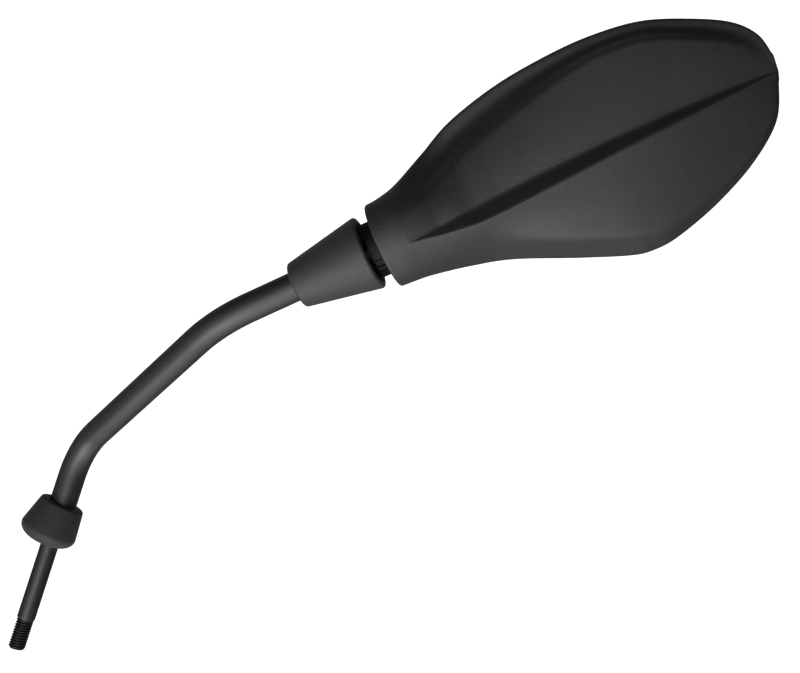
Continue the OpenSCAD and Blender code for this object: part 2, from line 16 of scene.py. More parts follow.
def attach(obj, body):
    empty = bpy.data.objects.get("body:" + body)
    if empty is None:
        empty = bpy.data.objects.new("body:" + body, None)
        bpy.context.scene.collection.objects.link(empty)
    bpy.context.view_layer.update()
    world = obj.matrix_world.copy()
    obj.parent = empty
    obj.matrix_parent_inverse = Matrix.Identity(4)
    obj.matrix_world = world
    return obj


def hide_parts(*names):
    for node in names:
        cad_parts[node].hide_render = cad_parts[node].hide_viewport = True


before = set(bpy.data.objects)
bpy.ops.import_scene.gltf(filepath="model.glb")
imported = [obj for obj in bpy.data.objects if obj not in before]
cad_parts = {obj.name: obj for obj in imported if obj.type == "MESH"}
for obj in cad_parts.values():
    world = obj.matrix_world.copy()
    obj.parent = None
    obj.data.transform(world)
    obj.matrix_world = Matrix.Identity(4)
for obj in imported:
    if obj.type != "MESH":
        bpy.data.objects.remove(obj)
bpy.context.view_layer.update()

bl_info = {
    "name": "Motorcycle mirror",
    "version": (1, 0, 0),
    "blender": (4, 5, 0),
    "location": "3D View > Sidebar > Mirror",
    "description": "Dresses a motorcycle mirror with its stem, rubber parts, moulded head and glass",
    "category": "Object",
}

IMAGE_WIDTH = 800
SENSOR_WIDTH = 36.0
CLEARANCE = 0.00005
THREAD_DEPTH_SHARE = 0.613
THINNEST_STEP = 0.0006

# Outline of the head: shares of its length, and of the way from the mouth's radius to the full half height
TOP_LINE = ((0, 0), (0.034, 0.017), (0.084, 0.107), (0.166, 0.392), (0.26, 0.712), (0.399, 0.94),
            (0.539, 1.02), (0.652, 1.0), (0.766, 0.859), (0.88, 0.501), (0.95, 0.189), (0.987, -0.147),
            (0.997, -0.495))
BOTTOM_LINE = ((0, 0), (0.034, 0.012), (0.083, 0.039), (0.177, 0.146), (0.271, 0.304), (0.411, 0.663),
               (0.526, 0.936), (0.578, 0.995), (0.64, 0.965), (0.751, 0.763), (0.863, 0.445), (0.948, 0.044),
               (0.988, -0.445))

# The crease: share of the head's length, its middle across the head, shares of the step's width and depth
CREASE_LINE = ((0.07, -0.00475, 0.05, 0.0), (0.111, -0.0051, 0.26, 0.22), (0.15, -0.0055, 0.55, 0.48),
               (0.195, -0.00585, 0.77, 0.62), (0.24, -0.00595, 0.97, 0.85), (0.306, -0.00545, 1.0, 1.0),
               (0.401, -0.00455, 0.97, 0.98), (0.568, -0.00325, 0.81, 0.86), (0.735, -0.0025, 0.62, 0.7),
               (0.82, -0.00225, 0.48, 0.52), (0.87, -0.0021, 0.39, 0.4), (0.91, -0.002, 0.3, 0.29),
               (0.945, -0.0019, 0.19, 0.17), (0.97, -0.0018, 0.09, 0.07), (0.988, -0.00175, 0.05, 0.0),
               (1.0, -0.0017, 0.05, 0.0))


def length(label, text, value):
    return FloatProperty(name=label, description=text, default=value, min=0.0, unit="LENGTH", precision=5)


def angle(label, text, degrees):
    return FloatProperty(name=label, description=text, default=math.radians(degrees), subtype="ANGLE")


def share(label, text, value):
    return FloatProperty(name=label, description=text, default=value, min=0.0, max=1.0, subtype="FACTOR")


def colour(label, text, value):
    return FloatVectorProperty(name=label, description=text, default=value, size=3, min=0.0, max=1.0,
                               subtype="COLOR")


def point(label, text, value):
    return FloatVectorProperty(name=label, description=text, default=value, size=3, subtype="TRANSLATION")


def level(label, text, value):
    return FloatProperty(name=label, description=text, default=value, min=0.0)


def power(label, text, value):
    return FloatProperty(name=label, description=text, default=value, min=0.0, unit="POWER")


class StemSettings(PropertyGroup):
    """Foot, bent tube and boot"""

    thread_radius: length("Thread radius", "Radius over the thread's crests", 0.004)
    thread_length: length("Thread length", "Length of the thread", 0.015)
    thread_pitch: length("Thread pitch", "Distance from crest to crest", 0.00125)
    thread_chamfer: length("Thread chamfer", "Lead chamfer at the end of the thread", 0.0008)
    rod_radius: length("Rod radius", "Radius of the plain rod", 0.0043)
    rod_length: length("Rod length", "From the thread to the lower end of the tube", 0.046)
    tube_radius: length("Tube radius", "Outer radius of the tube", 0.0065)
    tube_wall: length("Tube wall", "Wall of the tube", 0.0015)
    lower_run: length("Lower run", "From the thread to the lower bend", 0.0848)
    middle_run: length("Middle run", "From the lower bend to the upper bend", 0.1125)
    upper_run: length("Upper run", "From the upper bend to the centre of the ball", 0.0945)
    lower_rise: angle("Lower rise", "Rise of the lower run seen from the front", 73.0)
    lower_lean: angle("Lower lean", "Forward lean of the lower run", -4.0)
    middle_rise: angle("Middle rise", "Rise of the middle run seen from the front", 38.5)
    middle_lean: angle("Middle lean", "Forward lean of the middle run", 31.0)
    upper_rise: angle("Upper rise", "Rise of the upper run and the head's axis", 24.0)
    upper_lean: angle("Upper lean", "Forward lean of the upper run and the head's axis", 8.5)
    lower_bend: length("Lower bend", "Centreline radius of the lower bend", 0.033)
    upper_bend: length("Upper bend", "Centreline radius of the upper bend", 0.068)
    boot_top: length("Boot top radius", "Radius of the boot's top", 0.0106)
    boot_wide: length("Boot radius", "Largest radius of the boot", 0.0137)
    boot_flare: length("Boot flare", "From the boot's top to its widest point", 0.0145)
    boot_dome: length("Boot dome", "Depth of the boot's domed underside", 0.006)
    boot_over: length("Boot overlap", "How far the boot's top lies above the tube's lower end", 0.011)
    boot_tilt: angle("Boot tilt", "How far the boot leans over on the rod", 10.0)


class JointSettings(PropertyGroup):
    """Collar and retaining nut"""

    collar_wide: length("Collar radius", "Radius of the collar at the head", 0.0165)
    collar_small: length("Collar small end", "Radius of the collar's small end", 0.0101)
    collar_length: length("Collar length", "Length of the collar", 0.035)
    collar_at: length("Collar place", "From the ball's centre to the collar's wide end", 0.021)
    collar_lip: length("Collar lip", "Wall of the collar at its wide end", 0.0028)
    nut_radius: length("Nut radius", "Outer radius of the nut's collar", 0.0115)
    nut_out: length("Nut stand-out", "How far the nut stands out of the head", 0.005)
    nut_thread: length("Nut thread radius", "Radius of the nut's body in the neck", 0.0134)
    nut_from: length("Nut depth", "From the ball's centre to the nut's inner end", 0.007322)
    nut_ribs: IntProperty(name="Nut ribs", description="Number of ribs round the nut's collar", default=24,
                          min=3)
    rib_width: length("Rib width", "Width of each rib", 0.0009)
    rib_height: length("Rib height", "Height of each rib", 0.0007)
    swing: angle("Cone angle", "Half angle of the opening round the ball stud's neck", 14.106)
    neck_radius: length("Neck radius", "Radius of the ball stud's neck with its clearance", 0.00494)


class HeadSettings(PropertyGroup):
    """Moulded housing and glass"""

    head_length: length("Head length", "From the mouth to the tip", 0.1769)
    height_up: length("Height above", "Height of the head above its neck's axis", 0.04405)
    height_down: length("Depth below", "Depth of the head below its neck's axis", 0.0482)
    mouth_radius: length("Mouth radius", "Radius of the round mouth", 0.01875)
    mouth_depth: length("Mouth depth", "From the mouth to the centre of the ball", 0.015)
    mouth_bore: length("Mouth bore", "Radius of the bore that the nut is screwed into", 0.01345)
    bore_end: length("Bore end", "From the ball's centre to the floor of the bore", 0.01652)
    crest_height: length("Crest height", "Height of the back's crest over the neck's axis", 0.0172)
    crest_fall: length("Crest fall", "How far the crest has fallen at the tip", 0.023)
    step_depth: length("Step depth", "Depth of the step along the crease", 0.0068)
    step_width: length("Step width", "Width of the step along the crease", 0.0069)
    bevel_width: length("Bevel width", "Width of the bevel round the lower half", 0.0085)
    flange_width: length("Flange width", "Width of the flange round the upper half", 0.0115)
    rim_depth: length("Rim depth", "Depth of the widest line behind the neck's axis", 0.007)
    front_depth: length("Front depth", "Depth of the front edge behind the neck's axis", 0.016)
    edge_round: length("Edge rounding", "Rounding where the back meets the rim", 0.0014)
    ledge_depth: length("Ledge depth", "From the front edge to the ledge under the glass", 0.0065)
    glass_rim: length("Glass rim", "Width of the rim round the glass", 0.004)
    glass_from: length("Glass start", "From the ball's centre to the near end of the glass", 0.024)
    glass_corner: length("Glass corner", "Rounding of the glass's near corners", 0.009)
    glass_thickness: length("Glass thickness", "Thickness of the glass", 0.002)
    glass_curve: length("Glass curve", "Radius of the sphere that the convex glass is cut from", 1.2)
    glass_sink: length("Glass sink", "How deep the glass lies under the front edge", 0.0003)


class FinishSettings(PropertyGroup):
    """Colours and grain"""

    housing: colour("Housing", "Dark grey grained moulding", (0.0125, 0.0126, 0.0129))
    collar: colour("Collar", "Rubber of the collar", (0.019, 0.0191, 0.0195))
    boot: colour("Boot", "Rubber of the boot", (0.019, 0.0191, 0.0195))
    paint: colour("Powder coat", "Satin black paint of the tube", (0.010, 0.0101, 0.0104))
    rod: colour("Black oxide", "Blackened steel of the foot", (0.003, 0.003, 0.0032))
    nut: colour("Nut", "Black moulding of the nut", (0.003, 0.003, 0.003))
    steel: colour("Steel", "Bright steel under worn edges", (0.45, 0.45, 0.46))
    grain_size: length("Grain size", "Distance from grain to grain on the mouldings", 0.0009)
    grain_depth: length("Grain depth", "Depth of the moulded grain", 0.00007)
    wear: share("Wear", "How far the edges are rubbed", 0.35)


class StageSettings(PropertyGroup):
    """Floor, lights and camera"""

    floor: colour("Floor", "Colour of the floor and backdrop", (0.9, 0.9, 0.9))
    floor_height: FloatProperty(name="Floor height", description="Height of the floor", default=-0.85,
                                unit="LENGTH")
    white: level("White", "Brightness of the floor and room as the camera sees them", 1.0)
    # Strength of the painted glow: emission from a patch of the floor that lights the object in place of
    # bounced key light.
    glow: level("Floor glow", "Light that the floor's lit patch gives back to the object", 2.2)
    key_power: power("Key light", "Power of the broad light low on the left", 7.2)
    key_at: point("Key place", "Place of the key light", (-0.22, -0.60, -0.50))
    fill_power: power("Fill light", "Power of the light behind the camera", 5.0)
    fill_at: point("Fill place", "Place of the fill light", (0.0, -1.25, -0.12))
    lights_aim: point("Lights' aim", "Point that both lights look at", (0.17, -0.05, 0.13))
    room_near: level("Room near the key", "Brightness of the room round the key light", 0.85)
    room_far: level("Room opposite", "Brightness of the room away from the key light", 0.02)
    room_back: level("Wall behind", "Brightness of the pale wall high behind the object", 0.5)
    camera_at: point("Camera", "Place of the camera", (0.17917, -0.54245, 0.13468))
    focal_pixels: level("Focal length", "Focal length in pixels of an 800 pixel frame", 1132.0)


# Lines and frames of the part

def aim(rise, lean):
    """Direction that rises by one angle seen from the front and leans forward by the other."""
    return Vector((math.cos(lean) * math.cos(rise), -math.sin(lean), math.cos(lean) * math.sin(rise)))


def stem_directions(stem):
    return (aim(stem.lower_rise, stem.lower_lean), aim(stem.middle_rise, stem.middle_lean),
            aim(stem.upper_rise, stem.upper_lean))


def stem_corners(stem):
    """The two corners of the stem's line and the ball's centre."""
    lower, middle, upper = stem_directions(stem)
    first = lower * stem.lower_run
    second = first + middle * stem.middle_run
    return first, second, second + upper * stem.upper_run


def frame_at(origin, x, y, z):
    """Matrix that carries the three axes and the origin."""
    turn = Matrix((x, y, z)).transposed().to_4x4()
    return Matrix.Translation(origin) @ turn


def head_frame(stem):
    """Frame of the head: X to its tip, Y up across the glass, Z out of its back."""
    u = stem_directions(stem)[2]
    v = Vector((0, 1, 0)).cross(-u).normalized()
    return frame_at(stem_corners(stem)[2], u, v, u.cross(v))


def neck_frame(stem):
    """Frame on the neck's axis, with Z towards the tip of the head."""
    return head_frame(stem) @ Matrix.Rotation(math.pi / 2, 4, "Y")


def rod_frame(stem):
    """Frame on the foot's axis, with Z up the rod."""
    z = stem_directions(stem)[0]
    y = z.cross(Vector((0, -1, 0))).normalized()
    return frame_at(Vector((0, 0, 0)), y.cross(z), y, z)


def arc_points(corner, a, b, radius, steps):
    """Points of the bend round a corner, from direction a to direction b."""
    turn = a.angle(b)
    inward = (b - a * a.dot(b)).normalized()
    start = corner - a * radius * math.tan(turn / 2)
    centre = start + inward * radius
    return [centre - inward * radius * math.cos(turn * k / steps) + a * radius * math.sin(turn * k / steps)
            for k in range(steps + 1)]


# Mesh helpers

def new_object(name, points, faces, edges=()):
    """A mesh object at the origin."""
    mesh = bpy.data.meshes.new(name)
    mesh.from_pydata([tuple(p) for p in points], list(edges), list(faces))
    mesh.update()
    piece = bpy.data.objects.new(name, mesh)
    bpy.context.scene.collection.objects.link(piece)
    return piece


def ring_faces(rows, columns, close_ends=True):
    """Quads between closed rings that hold the same number of points, with a cap at each end."""
    faces = [(i * columns + j, i * columns + (j + 1) % columns, (i + 1) * columns + (j + 1) % columns,
              (i + 1) * columns + j) for i in range(rows - 1) for j in range(columns)]
    if close_ends:
        faces.append(tuple(range(columns))[::-1])
        faces.append(tuple((rows - 1) * columns + j for j in range(columns)))
    return faces


def outward(piece):
    """Merges doubles and turns every face outwards."""
    work = bmesh.new()
    work.from_mesh(piece.data)
    bmesh.ops.remove_doubles(work, verts=work.verts, dist=1e-7)
    bmesh.ops.recalc_face_normals(work, faces=work.faces)
    work.to_mesh(piece.data)
    work.free()


def soften(piece, degrees=32):
    """Smooth shading, broken at edges sharper than the angle."""
    piece.data.shade_smooth()
    piece.data.set_sharp_from_angle(angle=math.radians(degrees))


def bake(piece, name):
    """The evaluated piece as a plain mesh object of that name, with no modifier left."""
    bpy.context.view_layer.update()
    depsgraph = bpy.context.evaluated_depsgraph_get()
    mesh = bpy.data.meshes.new_from_object(piece.evaluated_get(depsgraph))
    bpy.data.objects.remove(piece)
    mesh.name = name
    done = bpy.data.objects.new(name, mesh)
    bpy.context.scene.collection.objects.link(done)
    if not mesh.polygons:
        raise RuntimeError(f"{name} came out empty")
    return done


def cut(piece, cutters):
    """Takes the cutters out of the piece."""
    name = piece.name
    for cutter in cutters:
        modifier = piece.modifiers.new("Cut", "BOOLEAN")
        modifier.operation = "DIFFERENCE"
        modifier.solver = "EXACT"
        modifier.object = cutter
    piece.name = name + "_uncut"
    done = bake(piece, name)
    for cutter in cutters:
        bpy.data.objects.remove(cutter)
    return done


def turned(name, profile, place, segments=128):
    """Solid of revolution about the place's Z axis from closed (radius, height) points."""
    turns = [2 * math.pi * k / segments for k in range(segments)]
    points = [place @ Vector((r * math.cos(turn), r * math.sin(turn), z))
              for turn in turns for r, z in profile]
    count = len(profile)
    faces = [(k * count + j, k * count + (j + 1) % count, (k + 1) % segments * count + (j + 1) % count,
              (k + 1) % segments * count + j) for k in range(segments) for j in range(count)]
    piece = new_object(name, points, faces)
    outward(piece)
    return piece


def rounded(points, radii, steps=6):
    """Closed outline with each corner rounded by its own radius."""
    out = []
    count = len(points)
    for i, radius in enumerate(radii):
        p = Vector(points[i])
        a = Vector(points[i - 1]) - p
        b = Vector(points[(i + 1) % count]) - p
        if radius <= 0:
            out.append(tuple(p))
            continue
        a.normalize()
        b.normalize()
        half = a.angle(b) / 2
        reach = radius / math.tan(half)
        centre = p + (a + b).normalized() * radius / math.sin(half)
        start = p + a * reach - centre
        end = p + b * reach - centre
        sweep = start.angle_signed(end)
        for k in range(steps + 1):
            turn = -sweep * k / steps
            out.append((centre.x + start.x * math.cos(turn) - start.y * math.sin(turn),
                        centre.y + start.x * math.sin(turn) + start.y * math.cos(turn)))
    return out


def place_piece(piece, body, material, nodes=()):
    """Gives a finished piece its material, body, slot and the solids that it stands for."""
    piece.data.materials.clear()
    piece.data.materials.append(material)
    if nodes:
        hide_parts(*nodes)
    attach(piece, body)


# Node helpers

def new_tree(name, inputs):
    """Geometry node tree with the named inputs and one geometry output."""
    tree = bpy.data.node_groups.new(name, "GeometryNodeTree")
    tree.is_modifier = True
    tree.interface.new_socket("Geometry", in_out="OUTPUT", socket_type="NodeSocketGeometry")
    tree.interface.new_socket("Geometry", in_out="INPUT", socket_type="NodeSocketGeometry")
    for label, kind in inputs:
        tree.interface.new_socket(label, in_out="INPUT", socket_type="NodeSocket" + kind)
    return tree, tree.nodes.new("NodeGroupInput"), tree.nodes.new("NodeGroupOutput")


def feed(tree, socket, value):
    """Links a socket, or sets its value."""
    if isinstance(value, bpy.types.NodeSocket):
        tree.links.new(value, socket)
    elif value is not None:
        socket.default_value = value


def add(tree, kind, *values, settings=None, **named):
    """A node with its settings, its first inputs in order and further inputs by name."""
    made = tree.nodes.new(kind)
    for key, value in (settings or {}).items():
        setattr(made, key, value)
    for socket, value in zip([s for s in made.inputs if s.enabled], values):
        feed(tree, socket, value)
    for label, value in named.items():
        feed(tree, made.inputs[label.replace("_", " ")], value)
    return made


def math_node(tree, operation, *values):
    return add(tree, "ShaderNodeMath", *values, settings={"operation": operation}).outputs[0]


def times(tree, a, b):
    return math_node(tree, "MULTIPLY", a, b)


def plus(tree, a, b):
    return math_node(tree, "ADD", a, b)


def minus(tree, a, b):
    return math_node(tree, "SUBTRACT", a, b)


def measure(tree, operation, a, b):
    """Number that a vector operation gives, such as a dot product or a distance."""
    return add(tree, "ShaderNodeVectorMath", a, b, settings={"operation": operation}).outputs["Value"]


def span(tree, value, low, high, low_in=0.0, high_in=1.0, kind="LINEAR"):
    """Value carried from the range low_in to high_in to the range low to high, and held at its ends."""
    return add(tree, "ShaderNodeMapRange", settings={"interpolation_type": kind}, Value=value,
               From_Min=low_in, From_Max=high_in, To_Min=low, To_Max=high).outputs[0]


def object_place(tree):
    """Place on the object in its own coordinates."""
    return add(tree, "ShaderNodeTexCoord").outputs["Object"]


def finished(tree, out, geometry, material):
    """Ends a geometry tree with real geometry that carries its material."""
    real = add(tree, "GeometryNodeRealizeInstances", geometry).outputs[0]
    done = add(tree, "GeometryNodeSetMaterial", Geometry=real, Material=material).outputs[0]
    feed(tree, out.inputs[0], done)


def join(tree, *parts):
    joined = tree.nodes.new("GeometryNodeJoinGeometry")
    for part in parts:
        tree.links.new(part, joined.inputs[0])
    return joined.outputs[0]


def run_tree(piece, tree, values):
    """Puts a geometry tree on the piece as a modifier, with its inputs set by their identifiers."""
    modifier = piece.modifiers.new(tree.name, "NODES")
    modifier.node_group = tree
    for item in tree.interface.items_tree:
        if item.item_type == "SOCKET" and item.in_out == "INPUT" and item.name in values:
            modifier[item.identifier] = values[item.name]
    return modifier


# Finishes

def shader_group(name, inputs, outputs):
    """Shader node group with named float inputs and the given outputs."""
    group = bpy.data.node_groups.get(name)
    if group:
        return group, None, None
    group = bpy.data.node_groups.new(name, "ShaderNodeTree")
    for label, value in inputs:
        socket = group.interface.new_socket(label, in_out="INPUT", socket_type="NodeSocketFloat")
        socket.default_value = value
    for label, kind in outputs:
        group.interface.new_socket(label, in_out="OUTPUT", socket_type="NodeSocket" + kind)
    return group, group.nodes.new("NodeGroupInput"), group.nodes.new("NodeGroupOutput")


def grain_group():
    """Fine moulded grain: pebbles of one size with a soft mottle over them."""
    group, given, out = shader_group("Moulded grain",
                                     (("Size", 0.0006), ("Depth", 0.00005), ("Mottle size", 0.02)),
                                     (("Normal", "Vector"), ("Grain", "Float"), ("Mottle", "Float")))
    if out is None:
        return group
    where = object_place(group)
    scale = math_node(group, "DIVIDE", 1.0, given.outputs["Size"])
    cells = add(group, "ShaderNodeTexVoronoi", settings={"feature": "SMOOTH_F1"}, Vector=where, Scale=scale,
                Smoothness=0.6)
    fine = add(group, "ShaderNodeTexNoise", Vector=where, Scale=times(group, scale, 1.7), Detail=3.0,
               Roughness=0.6)
    pebble = times(group, cells.outputs["Distance"], 0.8)
    height = plus(group, times(group, fine.outputs["Fac"], 0.7), minus(group, 0.6, pebble))
    bump = add(group, "ShaderNodeBump", Strength=1.0, Distance=given.outputs["Depth"], Height=height)
    mottle_scale = math_node(group, "DIVIDE", 1.0, given.outputs["Mottle size"])
    broad = add(group, "ShaderNodeTexNoise", Vector=where, Scale=mottle_scale, Detail=4.0, Roughness=0.62)
    feed(group, out.inputs["Normal"], bump.outputs["Normal"])
    feed(group, out.inputs["Grain"], height)
    feed(group, out.inputs["Mottle"], broad.outputs["Fac"])
    return group


def wear_group():
    """Rubbed edges: where a rounded normal departs from the surface's own, broken up by noise."""
    group, given, out = shader_group("Rubbed edges", (("Radius", 0.0006), ("Amount", 0.35)),
                                     (("Wear", "Float"),))
    if out is None:
        return group
    round_normal = add(group, "ShaderNodeBevel", settings={"samples": 6}, Radius=given.outputs["Radius"])
    flat_normal = add(group, "ShaderNodeNewGeometry").outputs["Normal"]
    match = measure(group, "DOT_PRODUCT", round_normal.outputs[0], flat_normal)
    edge = span(group, match, 0.0, 1.0, 0.995, 0.9)
    noise = add(group, "ShaderNodeTexNoise", Vector=object_place(group), Scale=420.0, Detail=5.0,
                Roughness=0.7)
    patch = span(group, noise.outputs["Fac"], 0.0, 1.0, 0.38, 0.62)
    feed(group, out.inputs["Wear"], times(group, times(group, edge, patch), given.outputs["Amount"]))
    return group


def smear_group():
    """Long faint smears and fingerprints that change the gloss."""
    group, given, out = shader_group("Handling marks", (("Size", 0.03), ("Strength", 1.0)),
                                     (("Marks", "Float"),))
    if out is None:
        return group
    stretched = add(group, "ShaderNodeMapping", Vector=object_place(group), Scale=(1.0, 0.4, 1.6))
    noise = add(group, "ShaderNodeTexNoise", Vector=stretched.outputs[0],
                Scale=math_node(group, "DIVIDE", 1.0, given.outputs["Size"]), Detail=8.0, Roughness=0.72,
                Distortion=0.6)
    marks = span(group, noise.outputs["Fac"], 0.0, 1.0, 0.35, 0.75)
    feed(group, out.inputs["Marks"], times(group, marks, given.outputs["Strength"]))
    return group


def group_node(tree, group, **values):
    made = tree.nodes.new("ShaderNodeGroup")
    made.node_tree = group
    for label, value in values.items():
        feed(tree, made.inputs[label.replace("_", " ")], value)
    return made


def blank_material(name):
    material = bpy.data.materials.new(name)
    material.use_nodes = True
    tree = material.node_tree
    return material, tree, tree.nodes["Principled BSDF"]


def mix_colour(tree, factor, a, b):
    mixed = tree.nodes.new("ShaderNodeMix")
    mixed.data_type = "RGBA"
    feed(tree, mixed.inputs["Factor"], factor)
    for socket, value in ((mixed.inputs["A"], a), (mixed.inputs["B"], b)):
        feed(tree, socket, value)
    return mixed.outputs["Result"]


def solid(rgb, gain=1.0):
    return tuple(min(c * gain, 1.0) for c in rgb) + (1.0,)


def grained_material(name, rgb, finish, size=1.0, depth=1.0, rough=(0.5, 0.62), specular=0.5, worn_gain=1.9,
                     wear=1.0, sheen=0.0):
    """Grained moulding or rubber: mottled colour, pebbled surface, paler rubbed edges."""
    material, tree, shader = blank_material(name)
    grain = group_node(tree, grain_group(), Size=finish.grain_size * size, Depth=finish.grain_depth * depth,
                       Mottle_size=0.025)
    worn = group_node(tree, wear_group(), Radius=0.0007, Amount=finish.wear * wear)
    marks = group_node(tree, smear_group(), Size=0.035, Strength=1.0)
    mottle = span(tree, grain.outputs["Mottle"], 0.0, 1.0, 0.3, 0.7)
    base = mix_colour(tree, mottle, solid(rgb, 0.88), solid(rgb, 1.1))
    pebbles = span(tree, grain.outputs["Grain"], 0.0, 0.55, 0.35, 0.95)
    grained = mix_colour(tree, pebbles, base, solid(rgb, 1.35))
    wear_seen = worn.outputs["Wear"]
    feed(tree, shader.inputs["Base Color"], mix_colour(tree, wear_seen, grained, solid(rgb, worn_gain)))
    gloss = span(tree, marks.outputs["Marks"], rough[1], rough[0])
    feed(tree, shader.inputs["Roughness"], minus(tree, gloss, times(tree, wear_seen, 0.12)))
    feed(tree, shader.inputs["Normal"], grain.outputs["Normal"])
    shader.inputs["Specular IOR Level"].default_value = specular
    if sheen:
        shader.inputs["Sheen Weight"].default_value = sheen
        shader.inputs["Sheen Roughness"].default_value = 0.5
    return material


def coated_material(name, rgb, steel, finish, rough=(0.3, 0.42), wear=1.0, orange=0.00001):
    """Powder coat or black oxide over steel: faint orange peel, bare metal where an edge is rubbed."""
    material, tree, shader = blank_material(name)
    peel = group_node(tree, grain_group(), Size=0.0011, Depth=orange, Mottle_size=0.03)
    worn = group_node(tree, wear_group(), Radius=0.0004, Amount=finish.wear * wear)
    marks = group_node(tree, smear_group(), Size=0.05, Strength=1.0)
    mottle = span(tree, peel.outputs["Mottle"], 0.0, 1.0, 0.3, 0.7)
    base = mix_colour(tree, mottle, solid(rgb, 0.9), solid(rgb, 1.12))
    feed(tree, shader.inputs["Base Color"], mix_colour(tree, worn.outputs["Wear"], base, solid(steel, 0.6)))
    feed(tree, shader.inputs["Metallic"], worn.outputs["Wear"])
    feed(tree, shader.inputs["Roughness"], span(tree, marks.outputs["Marks"], rough[1], rough[0]))
    feed(tree, shader.inputs["Normal"], peel.outputs["Normal"])
    shader.inputs["Specular IOR Level"].default_value = 0.6
    return material


def foot_material(finish, axis):
    """Black oxide, with a weaker reflection on the thread below the origin, so that the thread reads darker.
    """
    material = coated_material("Black oxide", finish.rod, finish.steel, finish, rough=(0.4, 0.54), wear=0.8)
    tree = material.node_tree
    along = measure(tree, "DOT_PRODUCT", object_place(tree), tuple(axis))
    feed(tree, tree.nodes["Principled BSDF"].inputs["Specular IOR Level"],
         span(tree, along, 0.3, 0.6, -0.0008, 0.0))
    return material


def steel_material(name, rgb, finish, rough=(0.25, 0.4), scratch=0.00002):
    """Bright or blued steel with fine turning marks and a broken tarnish."""
    material, tree, shader = blank_material(name)
    grain = group_node(tree, grain_group(), Size=0.0004, Depth=scratch, Mottle_size=0.008)
    marks = group_node(tree, smear_group(), Size=0.012, Strength=1.0)
    worn = group_node(tree, wear_group(), Radius=0.0003, Amount=finish.wear)
    mottle = span(tree, grain.outputs["Mottle"], 0.0, 1.0, 0.35, 0.65)
    tarnish = mix_colour(tree, mottle, solid(rgb, 0.72), solid(rgb))
    feed(tree, shader.inputs["Base Color"], mix_colour(tree, worn.outputs["Wear"], tarnish, solid(rgb, 1.3)))
    feed(tree, shader.inputs["Roughness"], span(tree, marks.outputs["Marks"], rough[1], rough[0]))
    feed(tree, shader.inputs["Normal"], grain.outputs["Normal"])
    shader.inputs["Metallic"].default_value = 1.0
    return material


SILVER = (0.86, 0.88, 0.89)
HAZE = (0.8, 0.82, 0.82)


def silvered_material(name):
    """Silvered glass with a little dust and wiping haze in patches."""
    material, tree, shader = blank_material(name)
    marks = group_node(tree, smear_group(), Size=0.06, Strength=1.0)
    haze = span(tree, marks.outputs["Marks"], 0.0, 0.35)
    feed(tree, shader.inputs["Base Color"], mix_colour(tree, haze, solid(SILVER), solid(HAZE)))
    feed(tree, shader.inputs["Roughness"], span(tree, marks.outputs["Marks"], 0.012, 0.05))
    shader.inputs["Metallic"].default_value = 1.0
    return material


# Shape of the head

def eased(x):
    x = np.clip(x, 0.0, 1.0)
    return x * x * (3 - 2 * x)


def along_line(line, t):
    """Point at t on the smooth curve through the line's points."""
    last = len(line) - 1
    i = min(int(t), last - 1)
    f = t - i
    a, b, c, d = (np.array(line[k], float) for k in (max(i - 1, 0), i, i + 1, min(i + 2, last)))
    return (2 * b + (c - a) * f + (2 * a - 5 * b + 4 * c - d) * f ** 2 + (3 * b - a - 3 * c + d) * f ** 3) / 2


